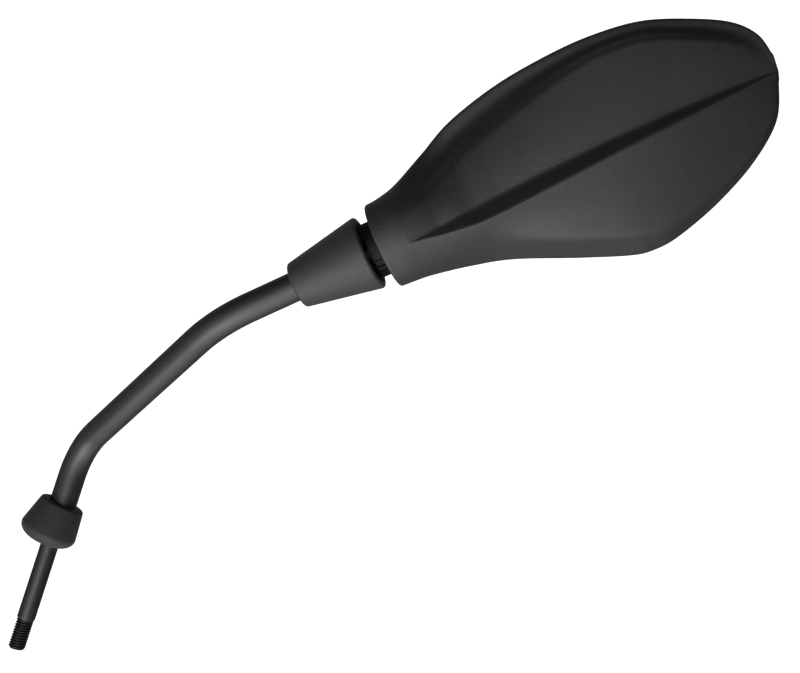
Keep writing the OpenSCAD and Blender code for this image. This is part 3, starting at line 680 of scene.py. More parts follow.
class HeadShape:
    """Outline and height of the moulded head, on axes u to the tip, v up and w out of the back."""

    # Points of each section, and sections to each row of the outline's tables
    STATIONS = 16
    BACK = 70
    STEP = 9
    FRONT = 54

    # The neck turns from round into the head's own section over this run of u
    NECK_FROM = -0.010
    NECK_RUN = 0.040

    # Upper half: the flange grows out of the mouth and narrows again, and its cove tightens towards the tip
    FLANGE_AT_MOUTH = 0.55
    FLANGE_NARROWS = 0.38
    FLANGE_FLOOR = 0.0012
    COVE_WIDE = 0.013
    COVE_CHANGE = 0.006
    DOME_FALL = 0.4
    DOME_CHANGE = 0.14

    # Lower half: how far the bevel narrows, its upper edge as a share of the height, and its rounding
    BEVEL_NARROWS = 0.65
    KNEE = 0.59
    KNEE_ROUND = 0.002

    # Front: power of the rounded box section, over that of the round mouth
    BOX_POWER = 6

    # Closing of the tip: scale of each cap and how far it stands out
    TIP_CAPS = ((0.99, 0.0001), (0.97, 0.0002), (0.94, 0.00027), (0.9, 0.0003), (0.7, 0.0003), (0.5, 0.0003),
                (0.3, 0.0003), (0.12, 0.0003))
    LIP = 0.0009

    def __init__(self, head):
        self.head = head
        self.tip = head.head_length - head.mouth_depth
        self.rows = len(TOP_LINE) - 1

    def top(self, t):
        q = along_line(TOP_LINE, t)
        head = self.head
        return np.array((q[0] * head.head_length - head.mouth_depth,
                         head.mouth_radius + (head.height_up - head.mouth_radius) * q[1]))

    def bottom(self, t):
        q = along_line(BOTTOM_LINE, t)
        head = self.head
        return np.array((q[0] * head.head_length - head.mouth_depth,
                         -head.mouth_radius - (head.height_down - head.mouth_radius) * q[1]))

    def crease_value(self, u, k):
        """Value k of the crease's line at u."""
        at = (u + self.head.mouth_depth) / self.head.head_length
        return float(np.interp(at, [p[0] for p in CREASE_LINE], [p[k] for p in CREASE_LINE]))

    def step(self, u):
        return self.head.step_depth * self.crease_value(u, 3)

    def crest(self, u):
        start = -self.NECK_FROM
        run = min(max((u - start) / (self.tip - start), 0.0), 1.0)
        return self.head.crest_height - self.head.crest_fall * run ** 3

    def valley(self, u):
        return self.crest(u) - self.step(u)

    def crease(self, t, side):
        u = (self.top(t)[0] + self.bottom(t)[0]) / 2
        half = max(self.head.step_width * self.crease_value(u, 2), THINNEST_STEP) / 2
        return np.array((u, self.crease_value(u, 1) + side * half))

    def upper(self, d, width, u):
        """Height of the upper half at distances d from the rim."""
        head = self.head
        grown = self.FLANGE_AT_MOUTH + (1 - self.FLANGE_AT_MOUTH) * eased((u + 0.015) / 0.035)
        flange = head.flange_width * grown * (1 - self.FLANGE_NARROWS * eased((u - 0.045) / 0.065))
        s = min(flange, 0.42 * width)
        change = eased((u - 0.050) / 0.050)
        h = min((self.COVE_WIDE - self.COVE_CHANGE * change) / 2, 0.4 * width)
        top = self.valley(u)
        edge = np.sqrt(np.maximum(head.edge_round ** 2 - np.maximum(head.edge_round - d, 0) ** 2, 0))
        low = edge - head.rim_depth + self.FLANGE_FLOOR * d / s
        fall = (self.DOME_FALL - self.DOME_CHANGE * change) * (top + head.rim_depth)
        dome = top - fall * ((width - d) / (width - s)) ** 2
        return low + (dome - low) * eased((d - s + h) / (2 * h))

    def lower(self, d, width, u):
        """Height of the lower half at distances d from the rim."""
        head = self.head
        b = min(head.bevel_width * (1 - self.BEVEL_NARROWS * eased((u - 0.075) / 0.070)), 0.5 * width)
        top = self.crest(u)
        x = (d - b) / (width - b)
        knee = -head.rim_depth + self.KNEE * (top + head.rim_depth)
        bevel = -head.rim_depth + (knee + head.rim_depth) * d / b
        field = knee + (top - knee) * np.where(x < 0, x, 0.75 * x + 0.25 * np.sin(np.pi / 2 * x))
        k = self.KNEE_ROUND
        h = np.maximum(k - np.abs(bevel - field), 0) / k
        return np.minimum(bevel, field) - h * h * k / 4

    def neck_blend(self, u):
        """Share of the head's own section, from 0 at the mouth to 1 past the neck."""
        return eased((u - self.NECK_FROM) / self.NECK_RUN)

    def half(self, t, side):
        """Dense line of the back from the rim to the crease."""
        rim = self.top(t) if side > 0 else self.bottom(t)
        crease = self.crease(t, side)
        width = np.linalg.norm(crease - rim)
        u = crease[0]
        d = width * np.linspace(0, 1, 260) ** 1.4
        plan = rim + (crease - rim) * (d / width)[:, None]
        radius = self.head.mouth_radius
        round_w = radius * np.sqrt(np.maximum(1 - (plan[:, 1] / rim[1]) ** 2, 0))
        body = self.upper(d, width, u) if side > 0 else self.lower(d, width, u)
        blend = self.neck_blend(u)
        w = round_w + (body - round_w) * blend
        if side > 0:
            w = w - (1 - blend) * self.step(u) * (d / width) ** 3
        return np.column_stack((plan, w))

    def front(self, t):
        """Dense line round the front, from the lower rim to the upper rim."""
        head = self.head
        a, b = self.top(t), self.bottom(t)
        middle = (a + b) / 2
        blend = self.neck_blend(middle[0])
        power = 2 / (2 + self.BOX_POWER * blend)
        w = -head.rim_depth * blend
        h = head.mouth_radius + (head.front_depth - head.rim_depth - head.mouth_radius) * blend
        f = np.linspace(np.pi, 0, 400)
        reach = np.sign(np.cos(f)) * np.abs(np.cos(f)) ** power
        plan = middle + (a - middle) * reach[:, None]
        return np.column_stack((plan, w - h * np.sin(f) ** power))

    def ring(self, t):
        """Closed section of the outside on station t, lightly smoothed."""
        upper, lower = self.half(t, 1), self.half(t, -1)
        step = np.linspace(0, 1, 40)[:, None]
        parts = ((upper, self.BACK), (upper[-1] + (lower[-1] - upper[-1]) * step, self.STEP),
                 (lower[::-1], self.BACK), (self.front(t), self.FRONT))
        ring = np.vstack([resample(line, count)[:-1] for line, count in parts])
        for _ in range(2):
            ring = ring * 0.5 + (np.roll(ring, 1, 0) + np.roll(ring, -1, 0)) * 0.25
        return ring

    def rings(self):
        """All sections, with a rounded mouth and a rounded tip."""
        rows = [self.ring(k / self.STATIONS) for k in range(self.STATIONS * self.rows + 1)]
        last, centre = rows[-1], rows[-1].mean(0)
        for scale, out in self.TIP_CAPS:
            cap = centre + (last - centre) * scale
            cap[:, 0] += out
            rows.append(cap)
        first = rows[0]
        centre = first.mean(0)
        radius = self.head.mouth_radius
        soft = self.LIP
        start = []
        for a in np.radians((0, 25, 50, 75)):
            lip = centre + (first - centre) * (1 - soft * (1 - math.sin(a)) / radius)
            lip[:, 0] = first[:, 0] + soft * (1 - math.cos(a))
            start.append(lip)
        rows[0] = first.copy()
        rows[0][:, 0] += soft
        keep = [r for r in rows if r[:, 0].mean() > rows[0][:, 0].mean() + 1e-5]
        return start + [rows[0]] + keep

    def outline(self):
        """Closed outline in plan, from the mouth along the top to the tip and back along the bottom."""
        ts = np.linspace(0, self.rows, 400)
        return np.vstack(([self.top(t) for t in ts], [self.bottom(t) for t in ts[::-1]]))

    def glass_outline(self):
        """Outline of the glass: the head's outline drawn in, cut near the neck, with rounded corners."""
        head = self.head
        line = inset(self.outline(), head.glass_rim)
        line = line[line[:, 0] > head.glass_from]
        corner = head.glass_corner
        centre_u = head.glass_from + corner
        pieces = {}
        for side in (1, -1):
            part = line[(line[:, 1] * side > 0) & (line[:, 0] < self.tip * 0.8)]
            levels = np.linspace(0, side * head.height_down, 2400)
            gaps = [np.min(np.hypot(part[:, 0] - centre_u, part[:, 1] - v)) for v in levels]
            first = next(i for i, g in enumerate(gaps) if g <= corner)
            centre = np.array((centre_u, levels[first]))
            touch = part[np.argmin(np.hypot(*(part - centre).T))]
            pieces[side] = (centre, touch)
        body = line[(line[:, 0] > np.where(line[:, 1] > 0, pieces[1][1][0], pieces[-1][1][0]))]
        arcs = []
        for side in (-1, 1):
            centre, touch = pieces[side]
            a = math.atan2(touch[1] - centre[1], touch[0] - centre[0])
            b = math.pi * side if side > 0 else -math.pi
            turns = np.linspace(a, b, 24) if side < 0 else np.linspace(b, a, 24)
            arcs.append(centre + corner * np.column_stack((np.cos(turns), np.sin(turns))))
        closed = np.vstack((body, arcs[0], arcs[1], body[:1]))
        return resample(closed, 321)[:-1]

    def dome(self, plan, drop):
        """Height of the sphere that lies drop under the face of the glass."""
        head = self.head
        middle = np.array(((head.glass_from + self.tip) / 2, (head.height_up - head.height_down) / 2))
        face = head.glass_sink - head.front_depth
        r2 = ((plan - middle) ** 2).sum(-1)
        return face + head.glass_curve - np.sqrt((head.glass_curve - drop) ** 2 - r2)


def resample(line, count):
    """The same line with evenly spaced points."""
    steps = np.linalg.norm(np.diff(line, axis=0), axis=1)
    run = np.concatenate(([0], np.cumsum(steps)))
    at = np.linspace(0, run[-1], count)
    return np.column_stack([np.interp(at, run, line[:, k]) for k in range(line.shape[1])])


def inset(line, distance):
    """Closed clockwise line drawn inwards, without the loops that a tight corner would leave."""
    closed = resample(np.vstack((line, line[:1])), 1601)[:-1]
    along = np.roll(closed, -1, 0) - np.roll(closed, 1, 0)
    along /= np.linalg.norm(along, axis=1)[:, None]
    moved = closed + distance * np.column_stack((along[:, 1], -along[:, 0]))
    near = np.array([np.min(np.hypot(*(closed - p).T)) for p in moved])
    return moved[near > distance * 0.985]


def on_head(place, points):
    return [place @ Vector(p) for p in points]


def prism_levels(name, place, outline, levels):
    """Closed solid through copies of an outline: each level is (height, growth)."""
    along = np.roll(outline, -1, 0) - np.roll(outline, 1, 0)
    along /= np.linalg.norm(along, axis=1)[:, None]
    out = np.column_stack((-along[:, 1], along[:, 0]))
    points = []
    for height, growth in levels:
        plan = outline + out * growth
        w = height(plan) if callable(height) else np.full(len(plan), height)
        points += on_head(place, np.column_stack((plan, w)))
    piece = new_object(name, points, ring_faces(len(levels), len(outline)))
    outward(piece)
    return piece


# Operators

def settings(context):
    scene = context.scene
    return scene.mirror_stem, scene.mirror_joint, scene.mirror_head, scene.mirror_finish, scene.mirror_stage


class MIRROR_OT_threaded_foot(Operator):
    """Plain rod with a right-hand thread at its lower end"""

    bl_idname = "mirror.threaded_foot"
    bl_label = "Threaded Foot"

    def thread_tree(self):
        """Rod with a helical thread below its origin."""
        tree, given, out = new_tree("Threaded foot", (
            ("Crest radius", "Float"), ("Thread length", "Float"), ("Pitch", "Float"), ("Depth", "Float"),
            ("Chamfer", "Float"), ("Rod radius", "Float"), ("Rod length", "Float"), ("Material", "Material")))
        g = given.outputs
        screw = add(tree, "GeometryNodeMeshCylinder", Vertices=80, Side_Segments=240, Radius=1.0,
                    Depth=g["Thread length"]).outputs["Mesh"]
        where = add(tree, "GeometryNodeInputPosition").outputs[0]
        x, y, z = add(tree, "ShaderNodeSeparateXYZ", where).outputs
        low = plus(tree, z, times(tree, g["Thread length"], 0.5))
        turn = math_node(tree, "DIVIDE", math_node(tree, "ARCTAN2", y, x), 2 * math.pi)
        phase = minus(tree, math_node(tree, "DIVIDE", low, g["Pitch"]), turn)
        wave = times(tree, math_node(tree, "PINGPONG", phase, 0.5), 2.0)
        groove = span(tree, wave, 0.0, 1.0, 0.1, 0.95, "SMOOTHERSTEP")
        fade = span(tree, minus(tree, g["Thread length"], low), 0.0, 1.0, 0.0002, 0.0016, "SMOOTHSTEP")
        crest = minus(tree, g["Crest radius"], times(tree, times(tree, groove, g["Depth"]), fade))
        lead = plus(tree, minus(tree, g["Crest radius"], g["Chamfer"]), low)
        radius = math_node(tree, "MINIMUM", crest, lead)
        spot = add(tree, "ShaderNodeCombineXYZ", times(tree, x, radius), times(tree, y, radius),
                   minus(tree, low, g["Thread length"])).outputs[0]
        screw = add(tree, "GeometryNodeSetPosition", Geometry=screw, Position=spot).outputs[0]
        rod = add(tree, "GeometryNodeMeshCylinder", Vertices=80, Side_Segments=24, Radius=g["Rod radius"],
                  Depth=g["Rod length"]).outputs["Mesh"]
        lift = add(tree, "ShaderNodeCombineXYZ", 0.0, 0.0, times(tree, g["Rod length"], 0.5)).outputs[0]
        rod = add(tree, "GeometryNodeTransform", Geometry=rod, Translation=lift).outputs[0]
        smooth = add(tree, "GeometryNodeSetShadeSmooth", Geometry=join(tree, screw, rod)).outputs[0]
        finished(tree, out, smooth, g["Material"])
        return tree

    def execute(self, context):
        stem, _, _, finish, _ = settings(context)
        material = foot_material(finish, stem_directions(stem)[0])
        seed = new_object("foot_seed", [(0, 0, 0)], [])
        run_tree(seed, self.thread_tree(), {
            "Crest radius": stem.thread_radius, "Thread length": stem.thread_length,
            "Pitch": stem.thread_pitch, "Depth": THREAD_DEPTH_SHARE * stem.thread_pitch,
            "Chamfer": stem.thread_chamfer, "Rod radius": stem.rod_radius, "Rod length": stem.rod_length,
            "Material": material})
        foot = bake(seed, "threaded_foot")
        foot.data.transform(rod_frame(stem))
        soften(foot, 50)
        place_piece(foot, "stem", material, ("base_rod",))
        return {"FINISHED"}


class MIRROR_OT_bent_tube(Operator):
    """Hollow tube swept along the stem's two bends"""

    bl_idname = "mirror.bent_tube"
    bl_label = "Bent Tube"

    def tube_tree(self):
        """Skin of a round tube round any line."""
        tree, given, out = new_tree("Bent tube",
                                    (("Radius", "Float"), ("Sides", "Int"), ("Material", "Material")))
        g = given.outputs
        line = add(tree, "GeometryNodeMeshToCurve", Mesh=g["Geometry"]).outputs[0]
        circle = add(tree, "GeometryNodeCurvePrimitiveCircle", Resolution=g["Sides"],
                     Radius=g["Radius"]).outputs[0]
        skin = add(tree, "GeometryNodeCurveToMesh", Curve=line, Profile_Curve=circle).outputs[0]
        finished(tree, out, skin, g["Material"])
        return tree

    def execute(self, context):
        stem, joint, _, finish, _ = settings(context)
        lower, middle, upper = stem_directions(stem)
        first, second, ball = stem_corners(stem)
        start = lower * stem.rod_length
        inside_collar = 0.003
        end = ball - upper * (joint.collar_at + inside_collar)
        bend_1 = arc_points(first, lower, middle, stem.lower_bend, 40)
        bend_2 = arc_points(second, middle, upper, stem.upper_bend, 40)
        points = []
        for a, b, steps in ((start, bend_1[0], 20), (bend_1[-1], bend_2[0], 30), (bend_2[-1], end, 30)):
            points += [a.lerp(b, k / steps) for k in range(steps + 1)]
            if a is start:
                points += bend_1[1:-1]
            elif a is bend_1[-1]:
                points += bend_2[1:-1]
        line = new_object("tube_line", points, [], [(k, k + 1) for k in range(len(points) - 1)])
        material = coated_material("Powder coat", finish.paint, finish.steel, finish, rough=(0.42, 0.52),
                                   wear=0.6, orange=0.000012)
        run_tree(line, self.tube_tree(), {"Radius": stem.tube_radius, "Sides": 72, "Material": material})
        wall = line.modifiers.new("Wall", "SOLIDIFY")
        wall.thickness = stem.tube_wall
        wall.offset = -1.0
        tube = bake(line, "bent_tube")
        outward(tube)
        soften(tube, 40)
        place_piece(tube, "stem", material, ("stem_tube",))
        return {"FINISHED"}


class MIRROR_OT_rubber_boot(Operator):
    """Domed rubber boot on the rod, leaning a little to one side"""

    bl_idname = "mirror.rubber_boot"
    bl_label = "Rubber Boot"

    def execute(self, context):
        stem, _, _, finish, _ = settings(context)
        rod = rod_frame(stem)
        top = stem.rod_length + stem.boot_over
        place = rod @ Matrix.Translation((0, 0, top)) @ Matrix.Rotation(-stem.boot_tilt, 4, "X")
        wall, inner, past = 0.0009, 0.002, 0.01
        foot = stem.rod_radius + wall
        reach = stem.boot_wide - foot
        dome = [(foot + reach * math.cos(a), -stem.boot_flare - stem.boot_dome * math.sin(a))
                for a in np.radians(np.arange(12, 91, 6))]
        deep = stem.boot_flare + stem.boot_dome
        sides = [(inner, 0), (stem.boot_top, 0), (stem.boot_wide, -stem.boot_flare)]
        boot = turned("foot_boot", rounded(sides + dome + [(inner, -deep)],
                                           [0, 0.0016, 0.0018] + [0] * len(dome) + [0]), place)
        tube_fit = stem.tube_radius + CLEARANCE
        rod_fit = stem.rod_radius + CLEARANCE
        seat = stem.rod_length - CLEARANCE
        chamfer = tube_fit + 0.0006
        wide = turned("boot_tube_hole", [(0, seat), (tube_fit, seat), (tube_fit, top - 0.0006),
                                         (chamfer, top + 0.0002), (chamfer, top + past), (0, top + past)],
                      rod, 96)
        under, into_tube = top - deep - past, stem.rod_length + 0.001
        slim = turned("boot_rod_hole", [(0, under), (rod_fit, under), (rod_fit, into_tube), (0, into_tube)],
                      rod, 96)
        boot = cut(boot, (wide, slim))
        soften(boot, 38)
        material = grained_material("Boot rubber", finish.boot, finish, size=0.8, depth=0.8,
                                    rough=(0.6, 0.74), specular=0.32, sheen=0.05)
        place_piece(boot, "boot", material, ("base_boot",))
        return {"FINISHED"}


class MIRROR_OT_rubber_collar(Operator):
    """Conical rubber collar that closes the gap between the stem and the head"""

    bl_idname = "mirror.rubber_collar"
    bl_label = "Rubber Collar"

    def execute(self, context):
        stem, joint, _, finish, _ = settings(context)
        place = neck_frame(stem) @ Matrix.Translation((0, 0, -joint.collar_at - joint.collar_length))
        fit = stem.tube_radius + CLEARANCE
        mouth = joint.collar_wide - joint.collar_lip
        end = joint.collar_length
        straight, floor, shoulder = 0.007, 0.009, 0.0045
        profile = rounded(
            [(fit, 0), (joint.collar_small, 0), (joint.collar_wide, end), (mouth, end),
             (mouth, end - straight), (mouth - shoulder, end - floor), (fit, end - floor)],
            [0.0008, 0.0016, 0.0013, 0.0009, 0.0008, 0.0008, 0.0006])
        collar = turned("rubber_collar", profile, place, 144)
        soften(collar, 38)
        material = grained_material("Collar rubber", finish.collar, finish, size=0.9, depth=0.9, sheen=0.05)
        place_piece(collar, "collar", material, ("collar_cone",))
        return {"FINISHED"}


class MIRROR_OT_ribbed_nut(Operator):
    """Ribbed retaining nut that is screwed into the head's neck"""

    bl_idname = "mirror.ribbed_nut"
    bl_label = "Ribbed Nut"

    def rib_tree(self):
        """Ring of equal ribs that stand on a turned body."""
        tree, given, out = new_tree("Ribbed ring", (
            ("Ring radius", "Float"), ("Ribs", "Int"), ("Rib size", "Vector"), ("Rib centre", "Float"),
            ("Material", "Material")))
        g = given.outputs
        circle = add(tree, "GeometryNodeMeshCircle", Vertices=g["Ribs"], Radius=g["Ring radius"]).outputs[0]
        lift = add(tree, "ShaderNodeCombineXYZ", 0.0, 0.0, g["Rib centre"]).outputs[0]
        circle = add(tree, "GeometryNodeTransform", Geometry=circle, Translation=lift).outputs[0]
        rib = add(tree, "GeometryNodeMeshCube", Size=g["Rib size"]).outputs[0]
        where = add(tree, "GeometryNodeInputPosition").outputs[0]
        x, y, _ = add(tree, "ShaderNodeSeparateXYZ", where).outputs
        turn = add(tree, "ShaderNodeCombineXYZ", 0.0, 0.0, math_node(tree, "ARCTAN2", y, x)).outputs[0]
        rotation = add(tree, "FunctionNodeEulerToRotation", turn).outputs[0]
        ribs = add(tree, "GeometryNodeInstanceOnPoints", Points=circle, Instance=rib,
                   Rotation=rotation).outputs[0]
        finished(tree, out, join(tree, g["Geometry"], ribs), g["Material"])
        return tree

    def execute(self, context):
        stem, joint, head, finish, _ = settings(context)
        outer = head.mouth_depth + joint.nut_out
        flush = head.mouth_depth - 0.0004
        root = 0.0003
        slope = math.tan(joint.swing)
        hole = [joint.neck_radius / math.cos(joint.swing) + z * slope for z in (outer, joint.nut_from)]
        profile = rounded(
            [(hole[0], -outer), (joint.nut_radius, -outer), (joint.nut_radius, -flush),
             (joint.nut_thread, -flush), (joint.nut_thread, -joint.nut_from), (hole[1], -joint.nut_from)],
            [0.0005, 0.0004, 0.0002, 0.0004, 0.0002, 0.0003], 4)
        body = turned("nut_body", profile, Matrix.Identity(4), 120)
        material = grained_material("Nut plastic", finish.nut, finish, size=0.5, depth=0.5, rough=(0.5, 0.62),
                                    specular=0.2)
        run_tree(body, self.rib_tree(), {
            "Ring radius": joint.nut_radius + joint.rib_height / 2 - root, "Ribs": joint.nut_ribs,
            "Rib size": (joint.rib_height + 2 * root, joint.rib_width, joint.nut_out - 0.0002),
            "Rib centre": -(outer + flush) / 2 + 0.0001, "Material": material})
        nut = bake(body, "ribbed_nut")
        nut.data.transform(neck_frame(stem))
        soften(nut, 40)
        place_piece(nut, "head", material, ("retaining_nut",))
        return {"FINISHED"}


class MIRROR_OT_moulded_housing(Operator):
    """Moulded back of the head, with its crease, bevel, flange, glass recess and neck bore"""

    bl_idname = "mirror.moulded_housing"
    bl_label = "Moulded Housing"

    def execute(self, context):
        stem, _, head, finish, _ = settings(context)
        place = head_frame(stem)
        shape = HeadShape(head)
        rings = shape.rings()
        housing = new_object("moulded_housing", on_head(place, np.vstack(rings)),
                             ring_faces(len(rings), len(rings[0])))
        outward(housing)
        front, ledge = -head.front_depth, head.ledge_depth - head.front_depth
        lip, gap = 0.0008, 0.0003
        levels = [(front - 0.003, gap + lip + 0.002), (front - 0.0004, gap + lip)]
        levels += [(front + 0.0006 + lip - lip * math.cos(a), gap + lip - lip * math.sin(a))
                   for a in np.radians((15, 30, 45, 60, 75, 90))]
        levels += [(ledge, gap)]
        recess = prism_levels("recess", place, shape.glass_outline(), levels)
        bore, mouth, outside = head.mouth_bore, head.mouth_depth, 0.004
        socket = turned("neck_bore", [(0, -mouth - outside), (bore + 0.0045, -mouth - outside),
                                      (bore + 0.0005, -mouth), (bore + 0.00015, -mouth + 0.0002),
                                      (bore, -mouth + 0.0005), (bore, head.bore_end), (0, head.bore_end)],
                        neck_frame(stem), 128)
        housing = cut(housing, (recess, socket))
        soften(housing, 38)
        material = grained_material("Housing plastic", finish.housing, finish, specular=0.62)
        place_piece(housing, "head", material, ("rear_housing",))
        return {"FINISHED"}


class MIRROR_OT_convex_glass(Operator):
    """Convex silvered glass with ground edges"""

    bl_idname = "mirror.convex_glass"
    bl_label = "Convex Glass"

    def execute(self, context):
        stem, _, head, _, _ = settings(context)
        shape = HeadShape(head)
        outline = shape.glass_outline()
        middle = outline.mean(0)
        ground = 0.0004
        rows = []
        for scale in np.linspace(0.02, 1, 40)[:-1]:
            plan = middle + (outline - middle) * scale
            rows.append(np.column_stack((plan, shape.dome(plan, 0))))
        along = np.roll(outline, -1, 0) - np.roll(outline, 1, 0)
        along /= np.linalg.norm(along, axis=1)[:, None]
        inward = np.column_stack((along[:, 1], -along[:, 0]))
        thick = head.glass_thickness
        for draw, drop in ((ground, 0), (ground * 0.4, ground * 0.25), (0, ground), (0, thick - ground),
                           (ground, thick)):
            plan = outline + inward * draw
            rows.append(np.column_stack((plan, shape.dome(plan, drop))))
        for scale in (0.8, 0.5, 0.2, 0.02):
            plan = middle + (outline - middle) * scale
            rows.append(np.column_stack((plan, shape.dome(plan, thick))))
        glass = new_object("convex_glass", on_head(head_frame(stem), np.vstack(rows)),
                           ring_faces(len(rows), len(outline)))
        outward(glass)
        soften(glass, 25)
        place_piece(glass, "head", silvered_material("Silvered glass"), ("mirror_glass",))
        return {"FINISHED"}


class MIRROR_OT_joint_parts(Operator):
    """Finishes of the pieces inside the joint and the head that keep their own solids"""

    bl_idname = "mirror.joint_parts"
    bl_label = "Joint Parts"

    def execute(self, context):
        _, _, _, finish, _ = settings(context)
        natural = grained_material("Natural plastic", (0.62, 0.6, 0.54), finish, size=0.5, depth=0.3,
                                   rough=(0.35, 0.5), worn_gain=1.2)
        liner = grained_material("Liner plastic", (0.72, 0.7, 0.64), finish, size=0.4, depth=0.2,
                                 rough=(0.25, 0.4), worn_gain=1.15)
        plate = grained_material("Plate plastic", finish.housing, finish, size=1.4, depth=0.6,
                                 rough=(0.45, 0.6))
        foam = grained_material("Foam tape", (0.02, 0.02, 0.02), finish, size=1.2, depth=2.0,
                                rough=(0.8, 0.95))
        plated = steel_material("Blackened stud", (0.05, 0.05, 0.052), finish, rough=(0.3, 0.45))
        sprung = steel_material("Oiled spring steel", (0.3, 0.3, 0.31), finish, rough=(0.3, 0.45))
        screws = steel_material("Zinc screws", (0.42, 0.42, 0.43), finish)
        screw_names = tuple(f"carrier_screw_{k}" for k in range(1, 5))
        looks = ((plated, ("ball_stud", "thrust_washer")), (liner, ("ball_liner",)),
                 (natural, ("front_cup", "rear_cup")), (plate, ("backing_plate",)), (foam, ("glass_pad",)),
                 (sprung, ("disc_spring_1", "disc_spring_2", "rod_pin", "ball_pin")), (screws, screw_names))
        for material, names in looks:
            for name in names:
                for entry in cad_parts[name].material_slots:
                    entry.material = material
        return {"FINISHED"}


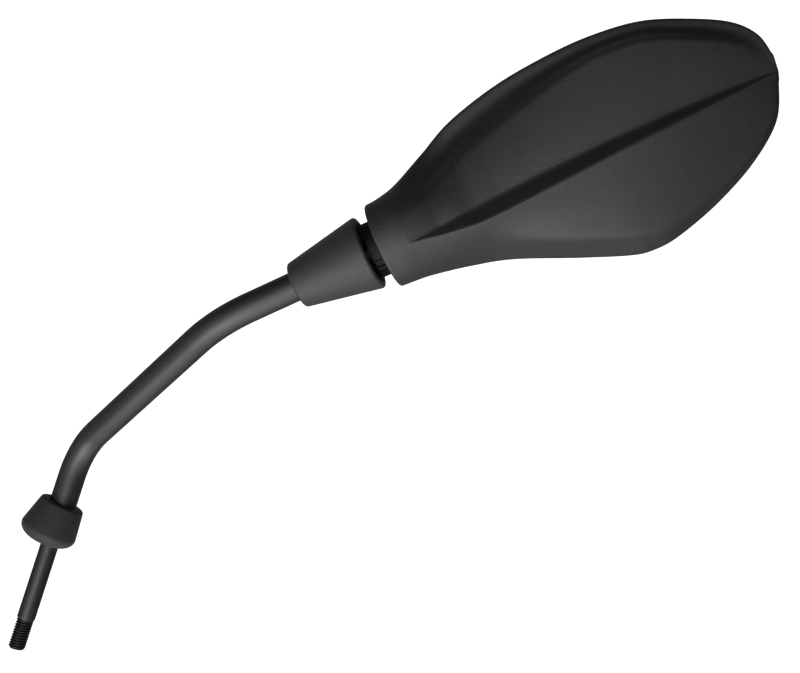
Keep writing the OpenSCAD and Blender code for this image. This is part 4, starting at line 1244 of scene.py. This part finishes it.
class MIRROR_OT_stage(Operator):
    """Pale floor and backdrop, soft lights and the camera at the photograph's angle"""

    bl_idname = "mirror.stage"
    bl_label = "Stage"

    def floor_material(self, rgb, white, glow, glow_at):
        """Pale matte floor that the camera sees as white paper, with a painted glowing patch in front of the
        object: emission, unseen by the camera, that lights the object in place of key light bounced off the
        floor.
        """
        material, tree, shader = blank_material("Pale floor")
        where = object_place(tree)
        noise = add(tree, "ShaderNodeTexNoise", Vector=where, Scale=3.0, Detail=6.0).outputs["Fac"]
        feed(tree, shader.inputs["Base Color"], mix_colour(tree, noise, solid(rgb, 0.985), solid(rgb)))
        shader.inputs["Roughness"].default_value = 0.85
        shader.inputs["Specular IOR Level"].default_value = 0.2
        shader.inputs["Emission Color"].default_value = (1.0, 1.0, 1.0, 1.0)
        # Painted glow: a round patch of the floor emits light onto the object, standing in for key light
        # bounced off the floor.
        away = measure(tree, "DISTANCE", where, tuple(glow_at))
        patch = span(tree, away, glow, 0.0, 0.1, 0.9, "SMOOTHSTEP")
        seen = add(tree, "ShaderNodeLightPath").outputs["Is Camera Ray"]
        unseen = minus(tree, 1.0, seen)
        feed(tree, shader.inputs["Emission Strength"],
             plus(tree, times(tree, seen, white), times(tree, unseen, patch)))
        return material

    def add_light(self, name, power, size, place, target):
        data = bpy.data.lights.new(name, "AREA")
        data.energy = power
        data.shape = "RECTANGLE"
        data.size, data.size_y = size
        light = bpy.data.objects.new(name, data)
        light.location = place
        light.rotation_euler = (Vector(target) - Vector(place)).to_track_quat("-Z", "Y").to_euler()
        bpy.context.scene.collection.objects.link(light)

    def room(self, near, far, back, white, towards):
        """World that is bright round the key light and high behind the object, and white to the camera."""
        world = bpy.data.worlds.new("Soft room")
        world.use_nodes = True
        tree = world.node_tree
        where = add(tree, "ShaderNodeTexCoord").outputs["Generated"]
        along = measure(tree, "DOT_PRODUCT", where, tuple(towards.normalized()))
        light = span(tree, along, far, near, 0.1, 0.95, "SMOOTHSTEP")
        rear = measure(tree, "DOT_PRODUCT", where, (0.0, 0.89, 0.45))
        wall = span(tree, rear, 0.0, back, 0.6, 0.95, "SMOOTHSTEP")
        seen = add(tree, "ShaderNodeLightPath").outputs["Is Camera Ray"]
        lit = times(tree, plus(tree, light, wall), minus(tree, 1.0, seen))
        tree.nodes["Background"].inputs["Color"].default_value = (1.0, 1.0, 1.0, 1.0)
        feed(tree, tree.nodes["Background"].inputs["Strength"], plus(tree, lit, times(tree, seen, white)))
        return world

    def execute(self, context):
        stage = settings(context)[4]
        low = stage.floor_height
        front, turn_at, bend, wall, sides = -3.0, 1.2, 0.8, 3.5, (-4.0, 4.5)
        profile = [(front, low), (turn_at, low)]
        profile += [(turn_at + bend * math.sin(a), low + bend * (1 - math.cos(a)))
                    for a in np.radians(range(6, 91, 6))]
        profile += [(turn_at + bend, low + wall)]
        points = [(x, y, z) for y, z in profile for x in sides]
        faces = [(2 * k, 2 * k + 1, 2 * k + 3, 2 * k + 2) for k in range(len(profile) - 1)]
        # Centre of the painted glowing patch on the floor.
        glow_at = (0.2, -0.40, low)
        floor = new_object("pale_floor", points, faces)
        floor.data.shade_smooth()
        floor.data.materials.append(self.floor_material(stage.floor, stage.white, stage.glow, glow_at))

        self.add_light("Key", stage.key_power, (0.7, 0.6), stage.key_at, stage.lights_aim)
        self.add_light("Fill", stage.fill_power, (1.0, 0.6), stage.fill_at, stage.lights_aim)
        towards = Vector(stage.key_at) - Vector(stage.lights_aim)
        context.scene.world = self.room(stage.room_near, stage.room_far, stage.room_back, stage.white,
                                        towards)
        context.scene.view_settings.view_transform = "Standard"

        data = bpy.data.cameras.new("Photo camera")
        data.sensor_width = SENSOR_WIDTH
        data.sensor_fit = "HORIZONTAL"
        data.lens = stage.focal_pixels * SENSOR_WIDTH / IMAGE_WIDTH
        data.clip_start = 0.01
        data.clip_end = 50.0
        camera = bpy.data.objects.new("Photo camera", data)
        camera.location = stage.camera_at
        camera.rotation_euler = (math.pi / 2, 0, 0)
        context.scene.collection.objects.link(camera)
        context.scene.camera = camera
        return {"FINISHED"}


PIECES = (MIRROR_OT_stage, MIRROR_OT_threaded_foot, MIRROR_OT_bent_tube, MIRROR_OT_rubber_boot,
          MIRROR_OT_rubber_collar, MIRROR_OT_ribbed_nut, MIRROR_OT_moulded_housing, MIRROR_OT_convex_glass,
          MIRROR_OT_joint_parts)


class MIRROR_PT_panel(Panel):
    """Sizes, finishes and the operators of the mirror"""

    bl_idname = "MIRROR_PT_panel"
    bl_label = "Motorcycle Mirror"
    bl_space_type = "VIEW_3D"
    bl_region_type = "UI"
    bl_category = "Mirror"

    def draw(self, context):
        layout = self.layout
        for group in settings(context):
            box = layout.box()
            box.label(text=group.__doc__ or group.bl_rna.name)
            for key in group.__annotations__:
                box.prop(group, key)
        for piece in PIECES:
            layout.operator(piece.bl_idname)


GROUPS = {"mirror_stem": StemSettings, "mirror_joint": JointSettings, "mirror_head": HeadSettings,
          "mirror_finish": FinishSettings, "mirror_stage": StageSettings}


def register():
    for kind in (*GROUPS.values(), *PIECES, MIRROR_PT_panel):
        bpy.utils.register_class(kind)
    for name, kind in GROUPS.items():
        setattr(bpy.types.Scene, name, PointerProperty(type=kind))


def unregister():
    for name in GROUPS:
        delattr(bpy.types.Scene, name)
    for kind in (MIRROR_PT_panel, *reversed(PIECES), *reversed(tuple(GROUPS.values()))):
        bpy.utils.unregister_class(kind)


def main():
    register()
    for piece in PIECES:
        area, name = piece.bl_idname.split(".")
        getattr(getattr(bpy.ops, area), name)()
    bpy.context.view_layer.update()


if __name__ == "__main__":
    main()
